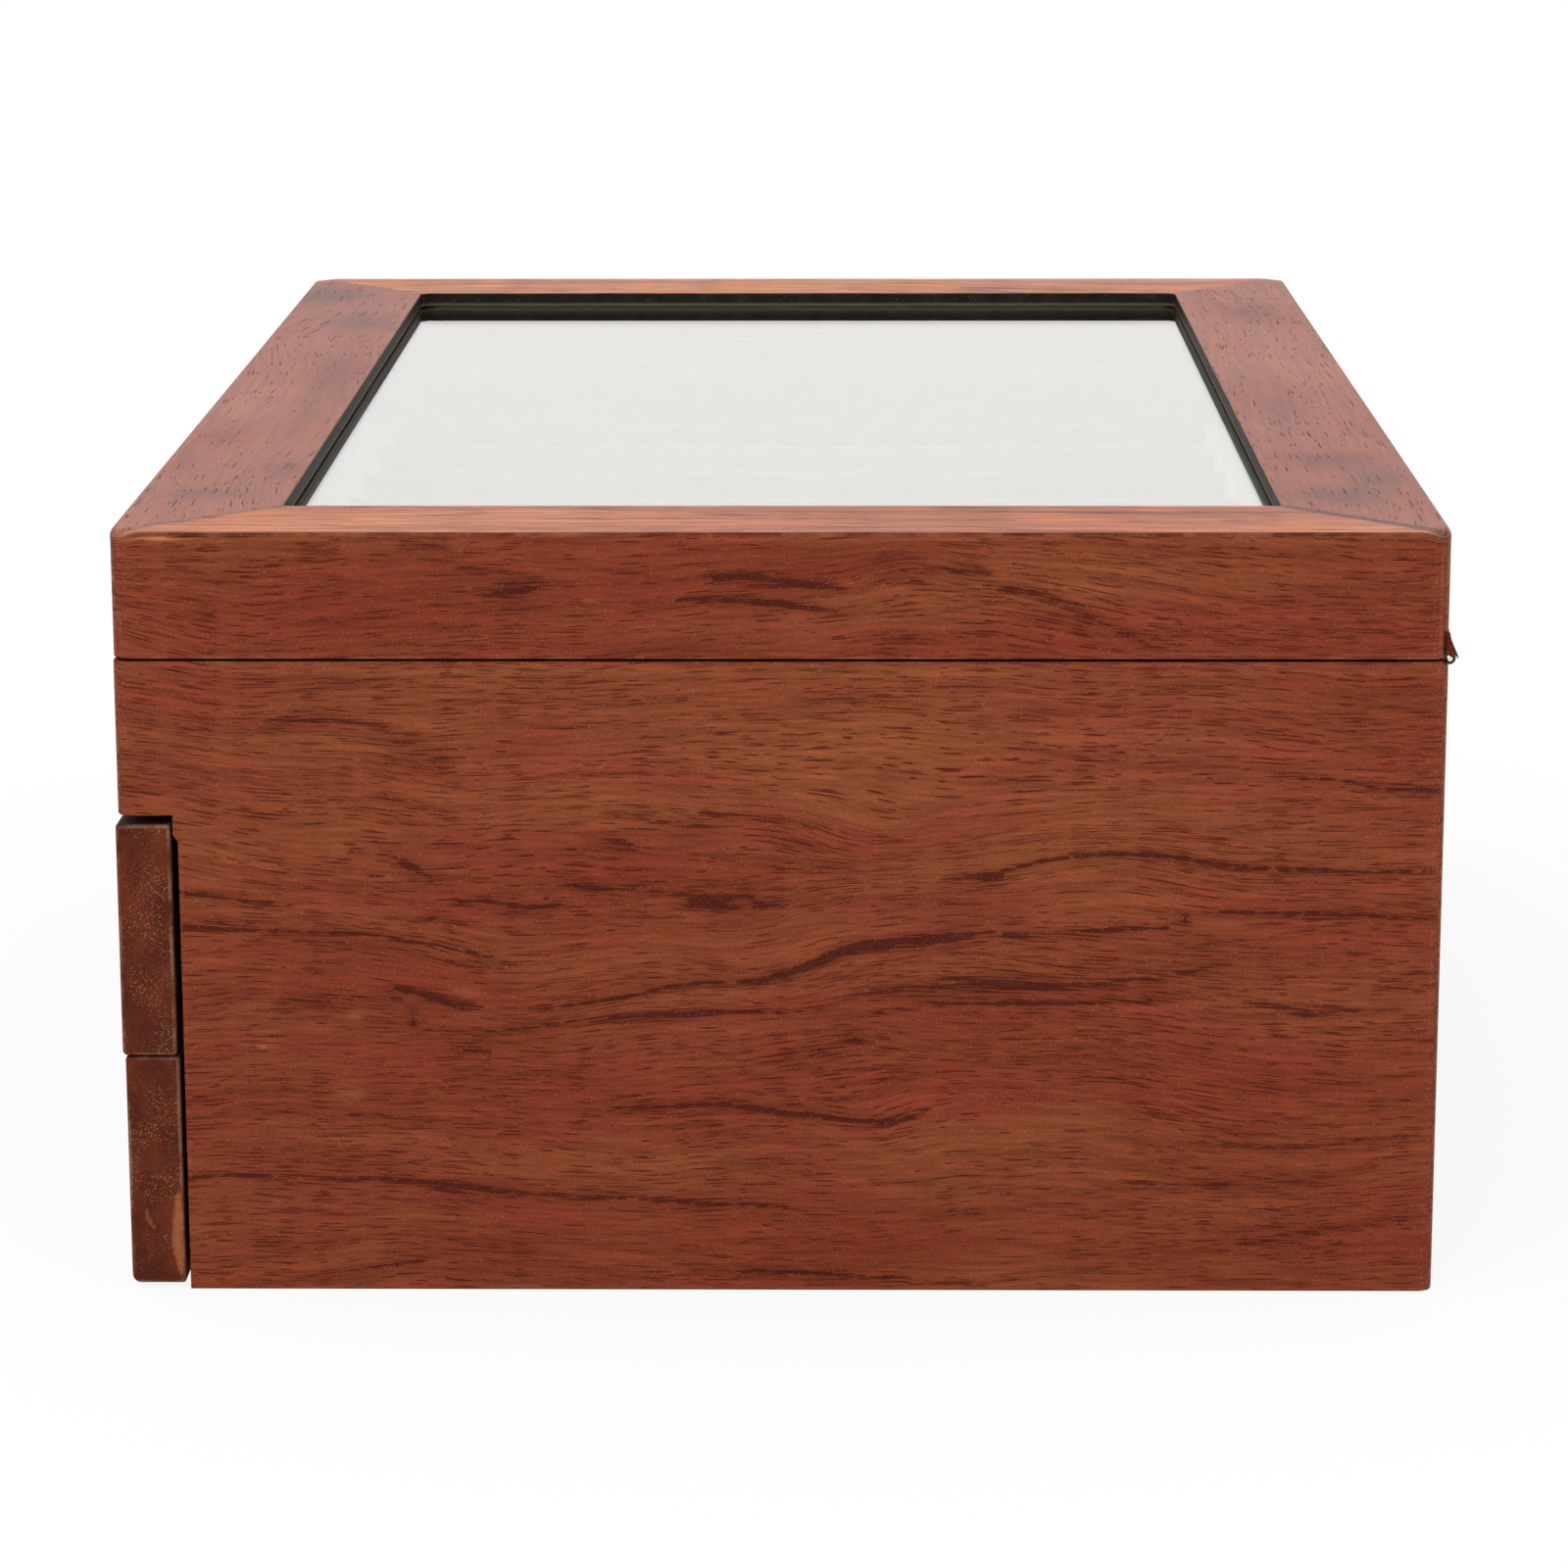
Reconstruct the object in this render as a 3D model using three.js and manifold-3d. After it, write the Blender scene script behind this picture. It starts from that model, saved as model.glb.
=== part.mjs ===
// Wooden pen display box. A veneered case holds a lined pen tray under a glazed lid
// on a continuous hinge, and two shallow drawers below it with a pen tray each.
// Millimetres. X runs left to right, Y front to back and Z up. While the box is built,
// y = 0 is the case's front plane and z = 0 the table; the last lines centre it on the origin.

import * as THREE from 'three';
import { mergeVertices } from 'three/addons/utils/BufferGeometryUtils.js';
import Module from 'manifold-3d';

const wasm = await Module();
wasm.setup();

// Overall size
const boxLength = 305;
const boxDepth = 203;
const boxHeight = 120;
const lidHeight = 19.5;
const jointGap = 0.4;

// Walls and joinery
const wallThickness = 9;
const cornerRadius = 0.8;
const cornerSegments = 3;
const mitreGap = 0.25;
const glueGap = 0.3;
const housingDepth = 3;
const housingClearance = 0.15;

// Drawer fronts, and the notch in the side panels that they close
const notchDepth = 9.25;
const frontThickness = 8.4;
const frontHeight = 36.7;
const frontEdgeRadius = 0.6;
const frontReveal = 1;
const frontSpacing = 0.2;
const notchReveal = 1.4;
const lowerStandoff = 0.7;
const upperStandoff = 1.1;
const fingerWidth = 40;
const fingerDepth = 10;
const fingerSegments = 32;

// Boards that cross the case. The upper front overlaps the deck's edge by deckLap.
const bottomThickness = 4.5;
const dividerThickness = 3;
const deckThickness = 3;
const deckLap = 2.8;

// Drawer boxes
const sideThickness = 8;
const backThickness = 8;
const drawerFloorThickness = 3;
const drawerFloorRise = 3;
const runClearance = 0.4;
const sideClearance = 0.7;
const headClearance = 3;
const backClearance = 2;

// Lining of the top compartment
const linerThickness = 2;
const linerDrop = 1.5;

// Pen trays: round troughs between rounded ridges
const topGrooves = 9;
const drawerGrooves = 9;
const trayBase = 2.5;
const ridgeHeight = 11;
const ridgeRadius = 4;
const trayBorder = 5;
const traySegments = 5;

// Lid frame and glazing
const frameWidth = 24;
const lipThickness = 2.6;
const rebateWidth = 5;
const glassThickness = 3;
const beadThickness = 1.8;
const beadChamfer = 0.9;

// Continuous hinge, let into both sides of the lid joint
const pinRadius = 0.55;
const pinClearance = 0.05;
const leafThickness = 0.35;
const leafWidth = 7.5;
const leafBedGap = 0.1;
const axisProud = 0.15;
const barrelClearance = 0.15;
const hingeEndMargin = 2;
const knuckleCount = 23;
const knuckleGap = 0.3;
const knuckleSegments = 14;
const curlEnd = THREE.MathUtils.degToRad(200);
const screwHoleRadius = 0.9;
const screwHoleCount = 5;
const pinSegments = 12;

// Stop lip along the lid's lower back edge
const lipWall = 0.1;
const lipHeight = 3.4;
const lipLand = 0.3;
const lipEndMargin = 1;
const lipRoot = 0.5;

// Levels and inner sizes that follow from the values above
const caseTop = boxHeight - lidHeight - jointGap;
const lowerFrontZ = frontReveal;
const upperFrontZ = lowerFrontZ + frontHeight + frontSpacing;
const notchTop = upperFrontZ + frontHeight + notchReveal;
const dividerZ = upperFrontZ - dividerThickness;
const deckZ = upperFrontZ + frontHeight - deckLap;
const deckTop = deckZ + deckThickness;
const innerHalf = boxLength / 2 - wallThickness;
const innerBack = boxDepth - wallThickness;
const barrelRadius = pinRadius + pinClearance + leafThickness;
const hingeLength = boxLength - 2 * hingeEndMargin;
const hingeY = boxDepth + axisProud;
const hingeZ = caseTop + jointGap / 2;
const lipProud = axisProud + barrelRadius + barrelClearance + lipWall;

// Materials
function finish(name, color, roughness, metalness = 0) {
  return new THREE.MeshStandardMaterial({ name, color, roughness, metalness });
}

const veneer = finish('veneer', 0x87412d, 0.42);
const stainedWood = finish('stained wood', 0x5e3628, 0.6);
const velvet = finish('velvet', 0x1b191b, 0.95);
const blackPaint = finish('black paint', 0x17140f, 0.45);
const hingeMetal = finish('hinge metal', 0xb49a62, 0.32, 1);
const glass = new THREE.MeshStandardMaterial({
  name: 'glass', color: 0xe6e9e6, roughness: 0.03, transparent: true, opacity: 0.3,
});

// Solids and cuts

function solidOf(geometry) {
  const bare = geometry.clone();
  bare.deleteAttribute('normal');
  bare.deleteAttribute('uv');
  const merged = mergeVertices(bare);
  return new wasm.Manifold(new wasm.Mesh({
    numProp: 3,
    vertProperties: new Float32Array(merged.attributes.position.array),
    triVerts: new Uint32Array(merged.index.array),
  }));
}

function geometryOf(solid) {
  const { vertProperties, triVerts } = solid.getMesh();
  const geometry = new THREE.BufferGeometry();
  geometry.setAttribute('position', new THREE.BufferAttribute(vertProperties, 3));
  geometry.setIndex(new THREE.BufferAttribute(triVerts, 1));
  const faceted = geometry.toNonIndexed();
  faceted.computeVertexNormals();
  return faceted;
}

function join(...geometries) {
  const [first, ...rest] = geometries.map(solidOf);
  return geometryOf(rest.reduce((sum, next) => sum.add(next), first));
}

function cut(geometry, ...tools) {
  return geometryOf(tools.reduce((left, tool) => left.subtract(solidOf(tool)), solidOf(geometry)));
}

function common(geometry, other) {
  return geometryOf(solidOf(geometry).intersect(solidOf(other)));
}

// Cuts a placed mesh with tools that are given in the frame of its group.
function carve(mesh, ...tools) {
  mesh.updateMatrix();
  const toLocal = mesh.matrix.clone().invert();
  mesh.geometry = cut(mesh.geometry, ...tools.map((tool) => tool.clone().applyMatrix4(toLocal)));
}

// Basic forms

function block([x0, x1], [y0, y1], [z0, z1]) {
  const form = new THREE.BoxGeometry(x1 - x0, y1 - y0, z1 - z0);
  return form.translate((x0 + x1) / 2, (y0 + y1) / 2, (z0 + z1) / 2);
}

function shapeOf(points) {
  return new THREE.Shape(points.map(([a, b]) => new THREE.Vector2(a, b)));
}

const axisX = new THREE.Vector3(1, 0, 0);
const axisY = new THREE.Vector3(0, 1, 0);
const axisZ = new THREE.Vector3(0, 0, 1);

// An outline's points, less those that repeat the one before or lie straight between their
// neighbours, as where two arcs meet in a tangent.
function cornersOf(shape, curveSegments) {
  const points = shape.getPoints(curveSegments);
  const apart = points.filter((point, i) => point.distanceTo(points.at(i - 1)) > 1e-6);
  return apart.filter((point, i) => {
    const before = point.clone().sub(apart.at(i - 1));
    const after = apart[(i + 1) % apart.length].clone().sub(point);
    return Math.abs(before.cross(after)) > 1e-9;
  });
}

function extrude(shape, depth, curveSegments) {
  const outline = new THREE.Shape(cornersOf(shape, curveSegments));
  return new THREE.ExtrudeGeometry(outline, { depth, steps: 1, bevelEnabled: false });
}

// An outline in Y and Z, carried from x0 to x1.
function prismAlongX(shape, [x0, x1], curveSegments = 1) {
  const turn = new THREE.Matrix4().makeBasis(axisY, axisZ, axisX);
  return extrude(shape, x1 - x0, curveSegments).applyMatrix4(turn).translate(x0, 0, 0);
}

// An outline in X and Z, carried from y0 to y1.
function prismAlongY(shape, [y0, y1], curveSegments = 1) {
  const turn = new THREE.Matrix4().makeBasis(axisX, axisZ, axisY.clone().negate());
  return extrude(shape, y1 - y0, curveSegments).applyMatrix4(turn).translate(0, y1, 0);
}

function cylinderAlongX(radius, [x0, x1], segments) {
  const form = new THREE.CylinderGeometry(radius, radius, x1 - x0, segments);
  return form.rotateZ(Math.PI / 2).translate((x0 + x1) / 2, 0, 0);
}

function piece(name, geometry, material, position = [0, 0, 0]) {
  const mesh = new THREE.Mesh(geometry, material);
  mesh.name = name;
  mesh.position.set(...position);
  return mesh;
}

// Mitred frames

// The four sides of the box: how a member that is drawn as the front one is turned, where its
// outer face then lies, and its half length.
const sides = {
  front: { turn: 0, at: [0, 0], half: boxLength / 2, across: boxDepth },
  right: { turn: Math.PI / 2, at: [boxLength / 2, boxDepth / 2], half: boxDepth / 2, across: boxLength },
  back: { turn: Math.PI, at: [0, boxDepth], half: boxLength / 2, across: boxDepth },
  left: { turn: -Math.PI / 2, at: [-boxLength / 2, boxDepth / 2], half: boxDepth / 2, across: boxLength },
};

// A member whose section is drawn as [distance in from the outer face, height], with both ends
// cut at 45 degrees: each corner of the section lies as far in from the end as from the face.
function mitredBar(section, half) {
  const bar = extrude(section, 1, cornerSegments);
  const place = bar.attributes.position;
  const trim = mitreGap / Math.SQRT2;
  for (let i = 0; i < place.count; i += 1) {
    const inward = place.getX(i);
    const height = place.getY(i);
    const end = place.getZ(i) > 0.5 ? 1 : -1;
    place.setXYZ(i, end * (half - inward - trim), inward, height);
  }
  return bar;
}

// The plan of the whole box with its upright corners rounded, as a block past both ends of it.
function roundedPlan(half, across) {
  const r = cornerRadius;
  const plan = new THREE.Shape();
  plan.absarc(-half + r, r, r, Math.PI, 1.5 * Math.PI);
  plan.absarc(half - r, r, r, 1.5 * Math.PI, 2 * Math.PI);
  plan.absarc(half - r, across - r, r, 0, 0.5 * Math.PI);
  plan.absarc(-half + r, across - r, r, 0.5 * Math.PI, Math.PI);
  return extrude(plan, 3 * boxHeight, cornerSegments).translate(0, 0, -boxHeight);
}

function frameMember(name, side, section, material) {
  const { turn, at } = sides[side];
  const member = piece(name, mitredBar(section, sides[side].half), material, [...at, 0]);
  member.rotation.z = turn;
  return member;
}

function outerMember(name, side, section) {
  const { half, across } = sides[side];
  const member = frameMember(name, side, section, veneer);
  member.geometry = common(member.geometry, roundedPlan(half, across));
  return member;
}

// Hinge

// One rolled knuckle with its tail, in the plane across the pin: the leaf's tail runs in along
// the outside of the barrel, and the sheet then curls round the pin. The lid's is turned over.
function knuckleShape(up) {
  const inner = barrelRadius - leafThickness;
  const tail = -(barrelRadius + barrelClearance + knuckleGap);
  const shape = new THREE.Shape();
  const turned = (angle) => (up ? -angle : angle);
  const height = (z) => (up ? -z : z);
  shape.moveTo(tail, height(-barrelRadius));
  shape.absarc(0, 0, barrelRadius, turned(-Math.PI / 2), turned(curlEnd), up);
  shape.absarc(0, 0, inner, turned(curlEnd), turned(-Math.PI / 2), !up);
  shape.lineTo(tail, height(-inner));
  return shape;
}

function hingeLeaf(name, up) {
  const pitch = hingeLength / knuckleCount;
  const inner = barrelRadius - leafThickness;
  const heights = up ? [inner, barrelRadius] : [-barrelRadius, -inner];
  const rearEdge = -(barrelRadius + barrelClearance);
  let leaf = solidOf(block([-hingeLength / 2, hingeLength / 2], [-leafWidth, rearEdge], heights));
  for (let i = up ? 1 : 0; i < knuckleCount; i += 2) {
    const start = -hingeLength / 2 + i * pitch + knuckleGap / 2;
    const knuckle = prismAlongX(knuckleShape(up), [start, start + pitch - knuckleGap], knuckleSegments);
    leaf = leaf.add(solidOf(knuckle));
  }
  for (let i = 0; i < screwHoleCount; i += 1) {
    const hole = new THREE.CylinderGeometry(screwHoleRadius, screwHoleRadius, 2 * leafWidth, pinSegments);
    const along = ((i + 0.5) / screwHoleCount - 0.5) * hingeLength;
    hole.rotateX(Math.PI / 2).translate(along, (rearEdge - leafWidth) / 2, 0);
    leaf = leaf.subtract(solidOf(hole));
  }
  return piece(name, geometryOf(leaf), hingeMetal);
}

// The room that the hinge takes in the wood, with the pin at height z: a shallow bed for both
// leaves, and a round cove along the whole joint for the barrel.
function hingeRoom(z) {
  const bedHalf = hingeLength / 2 + glueGap;
  const bedFront = hingeY - leafWidth - glueGap;
  const reach = barrelRadius + leafBedGap;
  const bed = block([-bedHalf, bedHalf], [bedFront, hingeY], [z - reach, z + reach]);
  const segments = 2 * knuckleSegments;
  const radius = (barrelRadius + barrelClearance) / Math.cos(Math.PI / segments);
  const cove = cylinderAlongX(radius, [-boxLength, boxLength], segments).translate(0, hingeY, z);
  return [bed, cove];
}

// Case

function caseWall(name, side, low) {
  const section = shapeOf([[0, low], [wallThickness, low], [wallThickness, caseTop], [0, caseTop]]);
  return outerMember(name, side, section);
}

// The slot in both side panels for a board that crosses the case.
function housing([y0, y1], z, thickness) {
  const half = innerHalf + housingDepth;
  return block([-half, half], [y0, y1], [z - housingClearance, z + thickness + housingClearance]);
}

function crossBoard(name, [y0, y1], z, thickness) {
  const half = innerHalf + housingDepth - glueGap;
  return piece(name, block([-half, half], [y0, y1], [z, z + thickness]), stainedWood);
}

function buildCase() {
  const group = new THREE.Group();
  const underNotch = [frontThickness, innerBack];
  const notch = block([-boxLength, boxLength], [-1, notchDepth], [-1, notchTop]);
  const bottomSlot = housing(underNotch, 0, bottomThickness);
  const dividerSlot = housing(underNotch, dividerZ, dividerThickness);
  const deckSlot = housing(underNotch, deckZ, deckThickness);
  for (const side of ['left', 'right']) {
    const panel = caseWall(`side_panel_${side}`, side, 0);
    carve(panel, notch, bottomSlot, dividerSlot, deckSlot, ...hingeRoom(hingeZ));
    group.add(panel);
  }
  const backPanel = caseWall('back_panel', 'back', 0);
  carve(backPanel, ...hingeRoom(hingeZ));
  group.add(backPanel, caseWall('front_board', 'front', notchTop));

  const boardEnd = innerBack - glueGap;
  group.add(
    crossBoard('bottom_panel', [notchDepth, boardEnd], 0, bottomThickness),
    crossBoard('drawer_divider', [notchDepth, boardEnd], dividerZ, dividerThickness),
    crossBoard('tray_deck', [notchDepth, boardEnd], deckZ, deckThickness),
  );
  return group;
}

function buildLining() {
  const group = new THREE.Group();
  const heights = [deckTop + glueGap, caseTop - linerDrop];
  const half = innerHalf - glueGap;
  const front = wallThickness + glueGap;
  const back = innerBack - glueGap;
  const between = [front + linerThickness + glueGap, back - linerThickness - glueGap];
  const liner = (side, spanX, spanY) => piece(`liner_${side}`, block(spanX, spanY, heights), velvet);
  group.add(
    liner('front', [-half, half], [front, front + linerThickness]),
    liner('back', [-half, half], [back - linerThickness, back]),
    liner('left', [-half, -half + linerThickness], between),
    liner('right', [half - linerThickness, half], between),
  );
  const trayWidth = 2 * (half - linerThickness - glueGap);
  const tray = penTray('pen_tray_top', trayWidth, between[1] - between[0], topGrooves);
  tray.position.set(0, between[0], deckTop + glueGap);
  group.add(tray);
  return group;
}

// Pen trays

// A block with round troughs cut along it and rounded ridges left between them. The arcs meet in
// a common tangent: a trough's centre and the next ridge's centre are half a pitch apart across
// the tray and the sum of the two radii apart in all, so the ridge height settles the trough's
// radius.
function penTray(name, width, length, grooves) {
  const pitch = width / grooves;
  const reach = ((pitch / 2) ** 2 + ridgeHeight ** 2) / (2 * ridgeHeight);
  const troughRadius = reach - ridgeRadius;
  const lean = Math.asin((reach - ridgeHeight) / reach);
  const crest = trayBase + ridgeHeight;
  const troughZ = trayBase + troughRadius;
  const ridgeZ = crest - ridgeRadius;

  const trough = new THREE.Shape();
  trough.moveTo(-pitch / 2, crest + ridgeRadius);
  trough.absarc(-pitch / 2, ridgeZ, ridgeRadius, Math.PI / 2, lean, true);
  trough.absarc(0, troughZ, troughRadius, Math.PI + lean, 2 * Math.PI - lean);
  trough.absarc(pitch / 2, ridgeZ, ridgeRadius, Math.PI - lean, Math.PI / 2, true);
  trough.lineTo(pitch / 2, crest + ridgeRadius);
  const groove = prismAlongY(trough, [trayBorder, length - trayBorder], traySegments);

  const grooveAt = (i) => groove.clone().translate((i + 0.5) * pitch - width / 2, 0, 0);
  const tools = Array.from({ length: grooves }, (_, i) => grooveAt(i));
  return piece(name, cut(block([-width / 2, width / 2], [0, length], [0, crest]), ...tools), velvet);
}

// Drawers

// A front board with its two outer long edges eased, and a finger notch in its top edge that is
// part of a circle. y = 0 is its back face.
function drawerFront(name, z) {
  const r = frontEdgeRadius;
  const top = z + frontHeight;
  const section = new THREE.Shape();
  section.moveTo(0, z);
  section.lineTo(0, top);
  section.absarc(-frontThickness + r, top - r, r, Math.PI / 2, Math.PI);
  section.absarc(-frontThickness + r, z + r, r, Math.PI, 1.5 * Math.PI);
  const board = prismAlongX(section, [-boxLength / 2, boxLength / 2], cornerSegments);

  const notchRadius = ((fingerWidth / 2) ** 2 + fingerDepth ** 2) / (2 * fingerDepth);
  const thumb = new THREE.CylinderGeometry(notchRadius, notchRadius, 4 * frontThickness, fingerSegments);
  thumb.translate(0, 0, top - fingerDepth + notchRadius);
  return piece(name, cut(board, thumb), veneer);
}

// One drawer in its own frame: y = 0 is the back of its front board, z = 0 its underside.
function buildDrawer(prefix, { floorZ, frontZ, ceilingZ, standoff }) {
  const group = new THREE.Group();
  const backOfFront = notchDepth - standoff;
  const half = innerHalf - sideClearance;
  const inside = half - sideThickness;
  const length = innerBack - backClearance - backOfFront;
  const height = ceilingZ - headClearance - floorZ;
  const floorTop = drawerFloorRise + drawerFloorThickness;
  const along = [glueGap, length];

  const slotHeights = [drawerFloorRise - housingClearance, floorTop + housingClearance];
  const slot = block([-inside - housingDepth, inside + housingDepth], [0, length + 1], slotHeights);
  const side = (name, spanX) => piece(name, cut(block(spanX, along, [0, height]), slot), stainedWood);
  const floorHalf = inside + housingDepth - glueGap;
  const backHalf = inside - glueGap;
  const backFrom = length - backThickness;
  group.add(
    drawerFront(`${prefix}_drawer_front`, frontZ - floorZ),
    side(`${prefix}_drawer_side_left`, [-half, -inside]),
    side(`${prefix}_drawer_side_right`, [inside, half]),
    piece(`${prefix}_drawer_back`, block([-backHalf, backHalf], [backFrom, length],
      [floorTop + glueGap, height]), stainedWood),
    piece(`${prefix}_drawer_floor`, block([-floorHalf, floorHalf], along,
      [drawerFloorRise, floorTop]), stainedWood),
  );

  const trayLength = backFrom - 2 * glueGap;
  const tray = penTray(`pen_tray_${prefix}`, 2 * (inside - glueGap), trayLength, drawerGrooves);
  tray.position.set(0, glueGap, floorTop + glueGap);
  group.add(tray);
  group.position.set(0, backOfFront, floorZ);
  return group;
}

// Lid

const glassBed = frameWidth - rebateWidth;
const glassTop = lidHeight - lipThickness - glueGap;
const glassUnder = glassTop - glassThickness;
const flangeUnder = glassUnder - glueGap - beadThickness;

// The section of a lid rail: a wall as thick as the case's, and a wide top flange with a rebate
// under its inner lip for the glass.
function railShape() {
  const r = cornerRadius;
  const rail = new THREE.Shape();
  rail.moveTo(0, 0);
  rail.lineTo(wallThickness, 0);
  rail.lineTo(wallThickness, flangeUnder);
  rail.lineTo(glassBed, flangeUnder);
  rail.lineTo(glassBed, lidHeight - lipThickness);
  rail.lineTo(frameWidth, lidHeight - lipThickness);
  rail.lineTo(frameWidth, lidHeight);
  rail.absarc(r, lidHeight - r, r, Math.PI / 2, Math.PI);
  return rail;
}

// The glass is held from below by a mitred bead with one long edge chamfered.
function beadShape() {
  const top = flangeUnder + beadThickness;
  const outer = glassBed + glueGap;
  return shapeOf([
    [outer, flangeUnder], [frameWidth - beadChamfer, flangeUnder],
    [frameWidth, flangeUnder + beadChamfer], [frameWidth, top], [outer, top],
  ]);
}

// The back rail's lower edge flares out into a lip that meets the case's back when the lid is
// wide open. It is drawn in the rail's own frame, with a root inside the rail.
function stopLip() {
  const reach = boxLength / 2 - lipEndMargin;
  const section = shapeOf([
    [-lipProud, 0], [lipRoot, 0], [lipRoot, lipHeight], [0, lipHeight], [-lipProud, lipLand],
  ]);
  return prismAlongX(section, [-reach, reach]);
}

function buildLid() {
  const group = new THREE.Group();
  for (const side of Object.keys(sides)) {
    const rail = outerMember(`lid_rail_${side}`, side, railShape());
    if (side === 'back') {
      rail.geometry = join(rail.geometry, stopLip());
    }
    if (side !== 'front') {
      carve(rail, ...hingeRoom(-jointGap / 2));
    }
    group.add(rail, frameMember(`glass_bead_${side}`, side, beadShape(), blackPaint));
  }
  const paneHalf = boxLength / 2 - glassBed - glueGap;
  const paneEdge = glassBed + glueGap;
  group.add(piece('glass_pane', block([-paneHalf, paneHalf], [paneEdge, boxDepth - paneEdge],
    [glassUnder, glassTop]), glass));
  group.position.z = caseTop + jointGap;
  return group;
}

// Assembly

function buildHinge() {
  const group = new THREE.Group();
  const span = [-hingeLength / 2, hingeLength / 2];
  group.add(
    hingeLeaf('hinge_leaf_case', false),
    hingeLeaf('hinge_leaf_lid', true),
    piece('hinge_pin', cylinderAlongX(pinRadius, span, pinSegments), hingeMetal),
  );
  group.position.set(0, hingeY, hingeZ);
  return group;
}

const penBox = new THREE.Group();
penBox.name = 'pen_display_box';
penBox.add(
  buildCase(),
  buildLining(),
  buildLid(),
  buildHinge(),
  buildDrawer('lower', {
    floorZ: bottomThickness + runClearance,
    frontZ: lowerFrontZ,
    ceilingZ: dividerZ,
    standoff: lowerStandoff,
  }),
  buildDrawer('upper', {
    floorZ: upperFrontZ + runClearance,
    frontZ: upperFrontZ,
    ceilingZ: deckZ,
    standoff: upperStandoff,
  }),
);

// The front-most face is a drawer front or the case, the rear-most edge the stop lip or the barrel.
const frontMost = Math.min(0, notchDepth - frontThickness - Math.max(lowerStandoff, upperStandoff));
const rearMost = boxDepth + Math.max(lipProud, axisProud + barrelRadius);
penBox.position.y = -(frontMost + rearMost) / 2;

export default penBox;
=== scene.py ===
# Pen display box: its looks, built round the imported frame. Shapes are worked out in millimetres
# and put into the meshes in metres.
import math
import bmesh
import bpy
import numpy as np
from mathutils import Matrix, Vector


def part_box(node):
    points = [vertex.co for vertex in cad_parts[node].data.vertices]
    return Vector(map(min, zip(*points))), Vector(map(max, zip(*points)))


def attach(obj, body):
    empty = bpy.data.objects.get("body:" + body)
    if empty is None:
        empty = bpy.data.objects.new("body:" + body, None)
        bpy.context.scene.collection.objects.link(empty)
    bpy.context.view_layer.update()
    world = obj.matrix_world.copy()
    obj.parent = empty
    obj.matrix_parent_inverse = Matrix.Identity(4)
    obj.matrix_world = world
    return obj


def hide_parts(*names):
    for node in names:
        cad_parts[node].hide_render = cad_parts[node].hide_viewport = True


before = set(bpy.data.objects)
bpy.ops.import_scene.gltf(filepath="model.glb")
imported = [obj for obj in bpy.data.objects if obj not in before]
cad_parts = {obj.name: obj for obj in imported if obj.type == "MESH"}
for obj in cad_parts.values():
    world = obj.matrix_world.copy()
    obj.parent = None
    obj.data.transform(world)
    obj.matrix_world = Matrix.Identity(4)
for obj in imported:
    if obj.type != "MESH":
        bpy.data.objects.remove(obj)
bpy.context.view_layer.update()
mm = 0.001
tiny = 1e-6  # slack in millimetres for comparing places, and for dividing by lengths that may be nothing


# A CAD node's lowest and highest corner in millimetres.
def spanOf(node):
    low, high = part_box(node)
    return np.array(low) / mm, np.array(high) / mm


sideLow, sideHigh = spanOf("side_panel_right")
railLow, railHigh = spanOf("lid_rail_right")
boardLow = spanOf("front_board")[0]
backHigh = spanOf("back_panel")[1]
pinLow, pinHigh = spanOf("hinge_pin")
glassTop = spanOf("glass_pane")[1][2]

# The box's outer planes and its main levels, all from the frame.
shell = {
    "halfLength": sideHigh[0],
    "front": boardLow[1],
    "back": backHigh[1],
    "wall": sideHigh[0] - sideLow[0],
    "notchTop": boardLow[2],
    "caseTop": sideHigh[2],
    "lidBottom": railLow[2],
    "lidTop": railHigh[2],
}
shell["middle"] = (shell["front"] + shell["back"]) / 2
shell["halfDepth"] = (shell["back"] - shell["front"]) / 2
# The hinge's axis, its pin's radius and half its length.
hinge = {
    "y": (pinLow[1] + pinHigh[1]) / 2,
    "z": (pinLow[2] + pinHigh[2]) / 2,
    "pin": (pinHigh[2] - pinLow[2]) / 2,
    "half": pinHigh[0],
}
longSides = ("front", "back")


def halfOf(side):
    return shell["halfLength"] if side in longSides else shell["halfDepth"]


# Camera: where it stands in metres, its turn in degrees, its lens and sensor in millimetres
photoView = {
    "eye": (0.88927, 0.00969, 0.25116),
    "yaw": -0.7464,
    "pitch": 12.994,
    "roll": -0.1166,
    "lens": 113.9,
    "sensor": 36.0,
    "near": 0.05,
    "far": 40,
}


def makeCamera(view):
    yaw, pitch, roll = (math.radians(view[key]) for key in ("yaw", "pitch", "roll"))
    flat = math.cos(pitch)
    ahead = Vector((-flat * math.cos(yaw), flat * math.sin(yaw), -math.sin(pitch)))
    level = ahead.cross(Vector((0, 0, 1))).normalized()
    over = level.cross(ahead)
    right = level * math.cos(roll) + over * math.sin(roll)
    up = over * math.cos(roll) - level * math.sin(roll)
    data = bpy.data.cameras.new("camera")
    data.lens, data.sensor_width = view["lens"], view["sensor"]
    data.clip_start, data.clip_end = view["near"], view["far"]
    camera = bpy.data.objects.new("camera", data)
    bpy.context.scene.collection.objects.link(camera)
    turn = Matrix((right, up, -ahead)).transposed().to_4x4()
    camera.matrix_world = Matrix.Translation(view["eye"]) @ turn
    bpy.context.scene.camera = camera


makeCamera(photoView)
print("camera set")


# Node helpers

# The node tree that the sockets among some values belong to.
def treeOf(*values):
    return next(value.id_data for value in values if isinstance(value, bpy.types.NodeSocket))


def feed(socket, value):
    if isinstance(value, bpy.types.NodeSocket):
        socket.id_data.links.new(value, socket)
    else:
        socket.default_value = value


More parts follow.
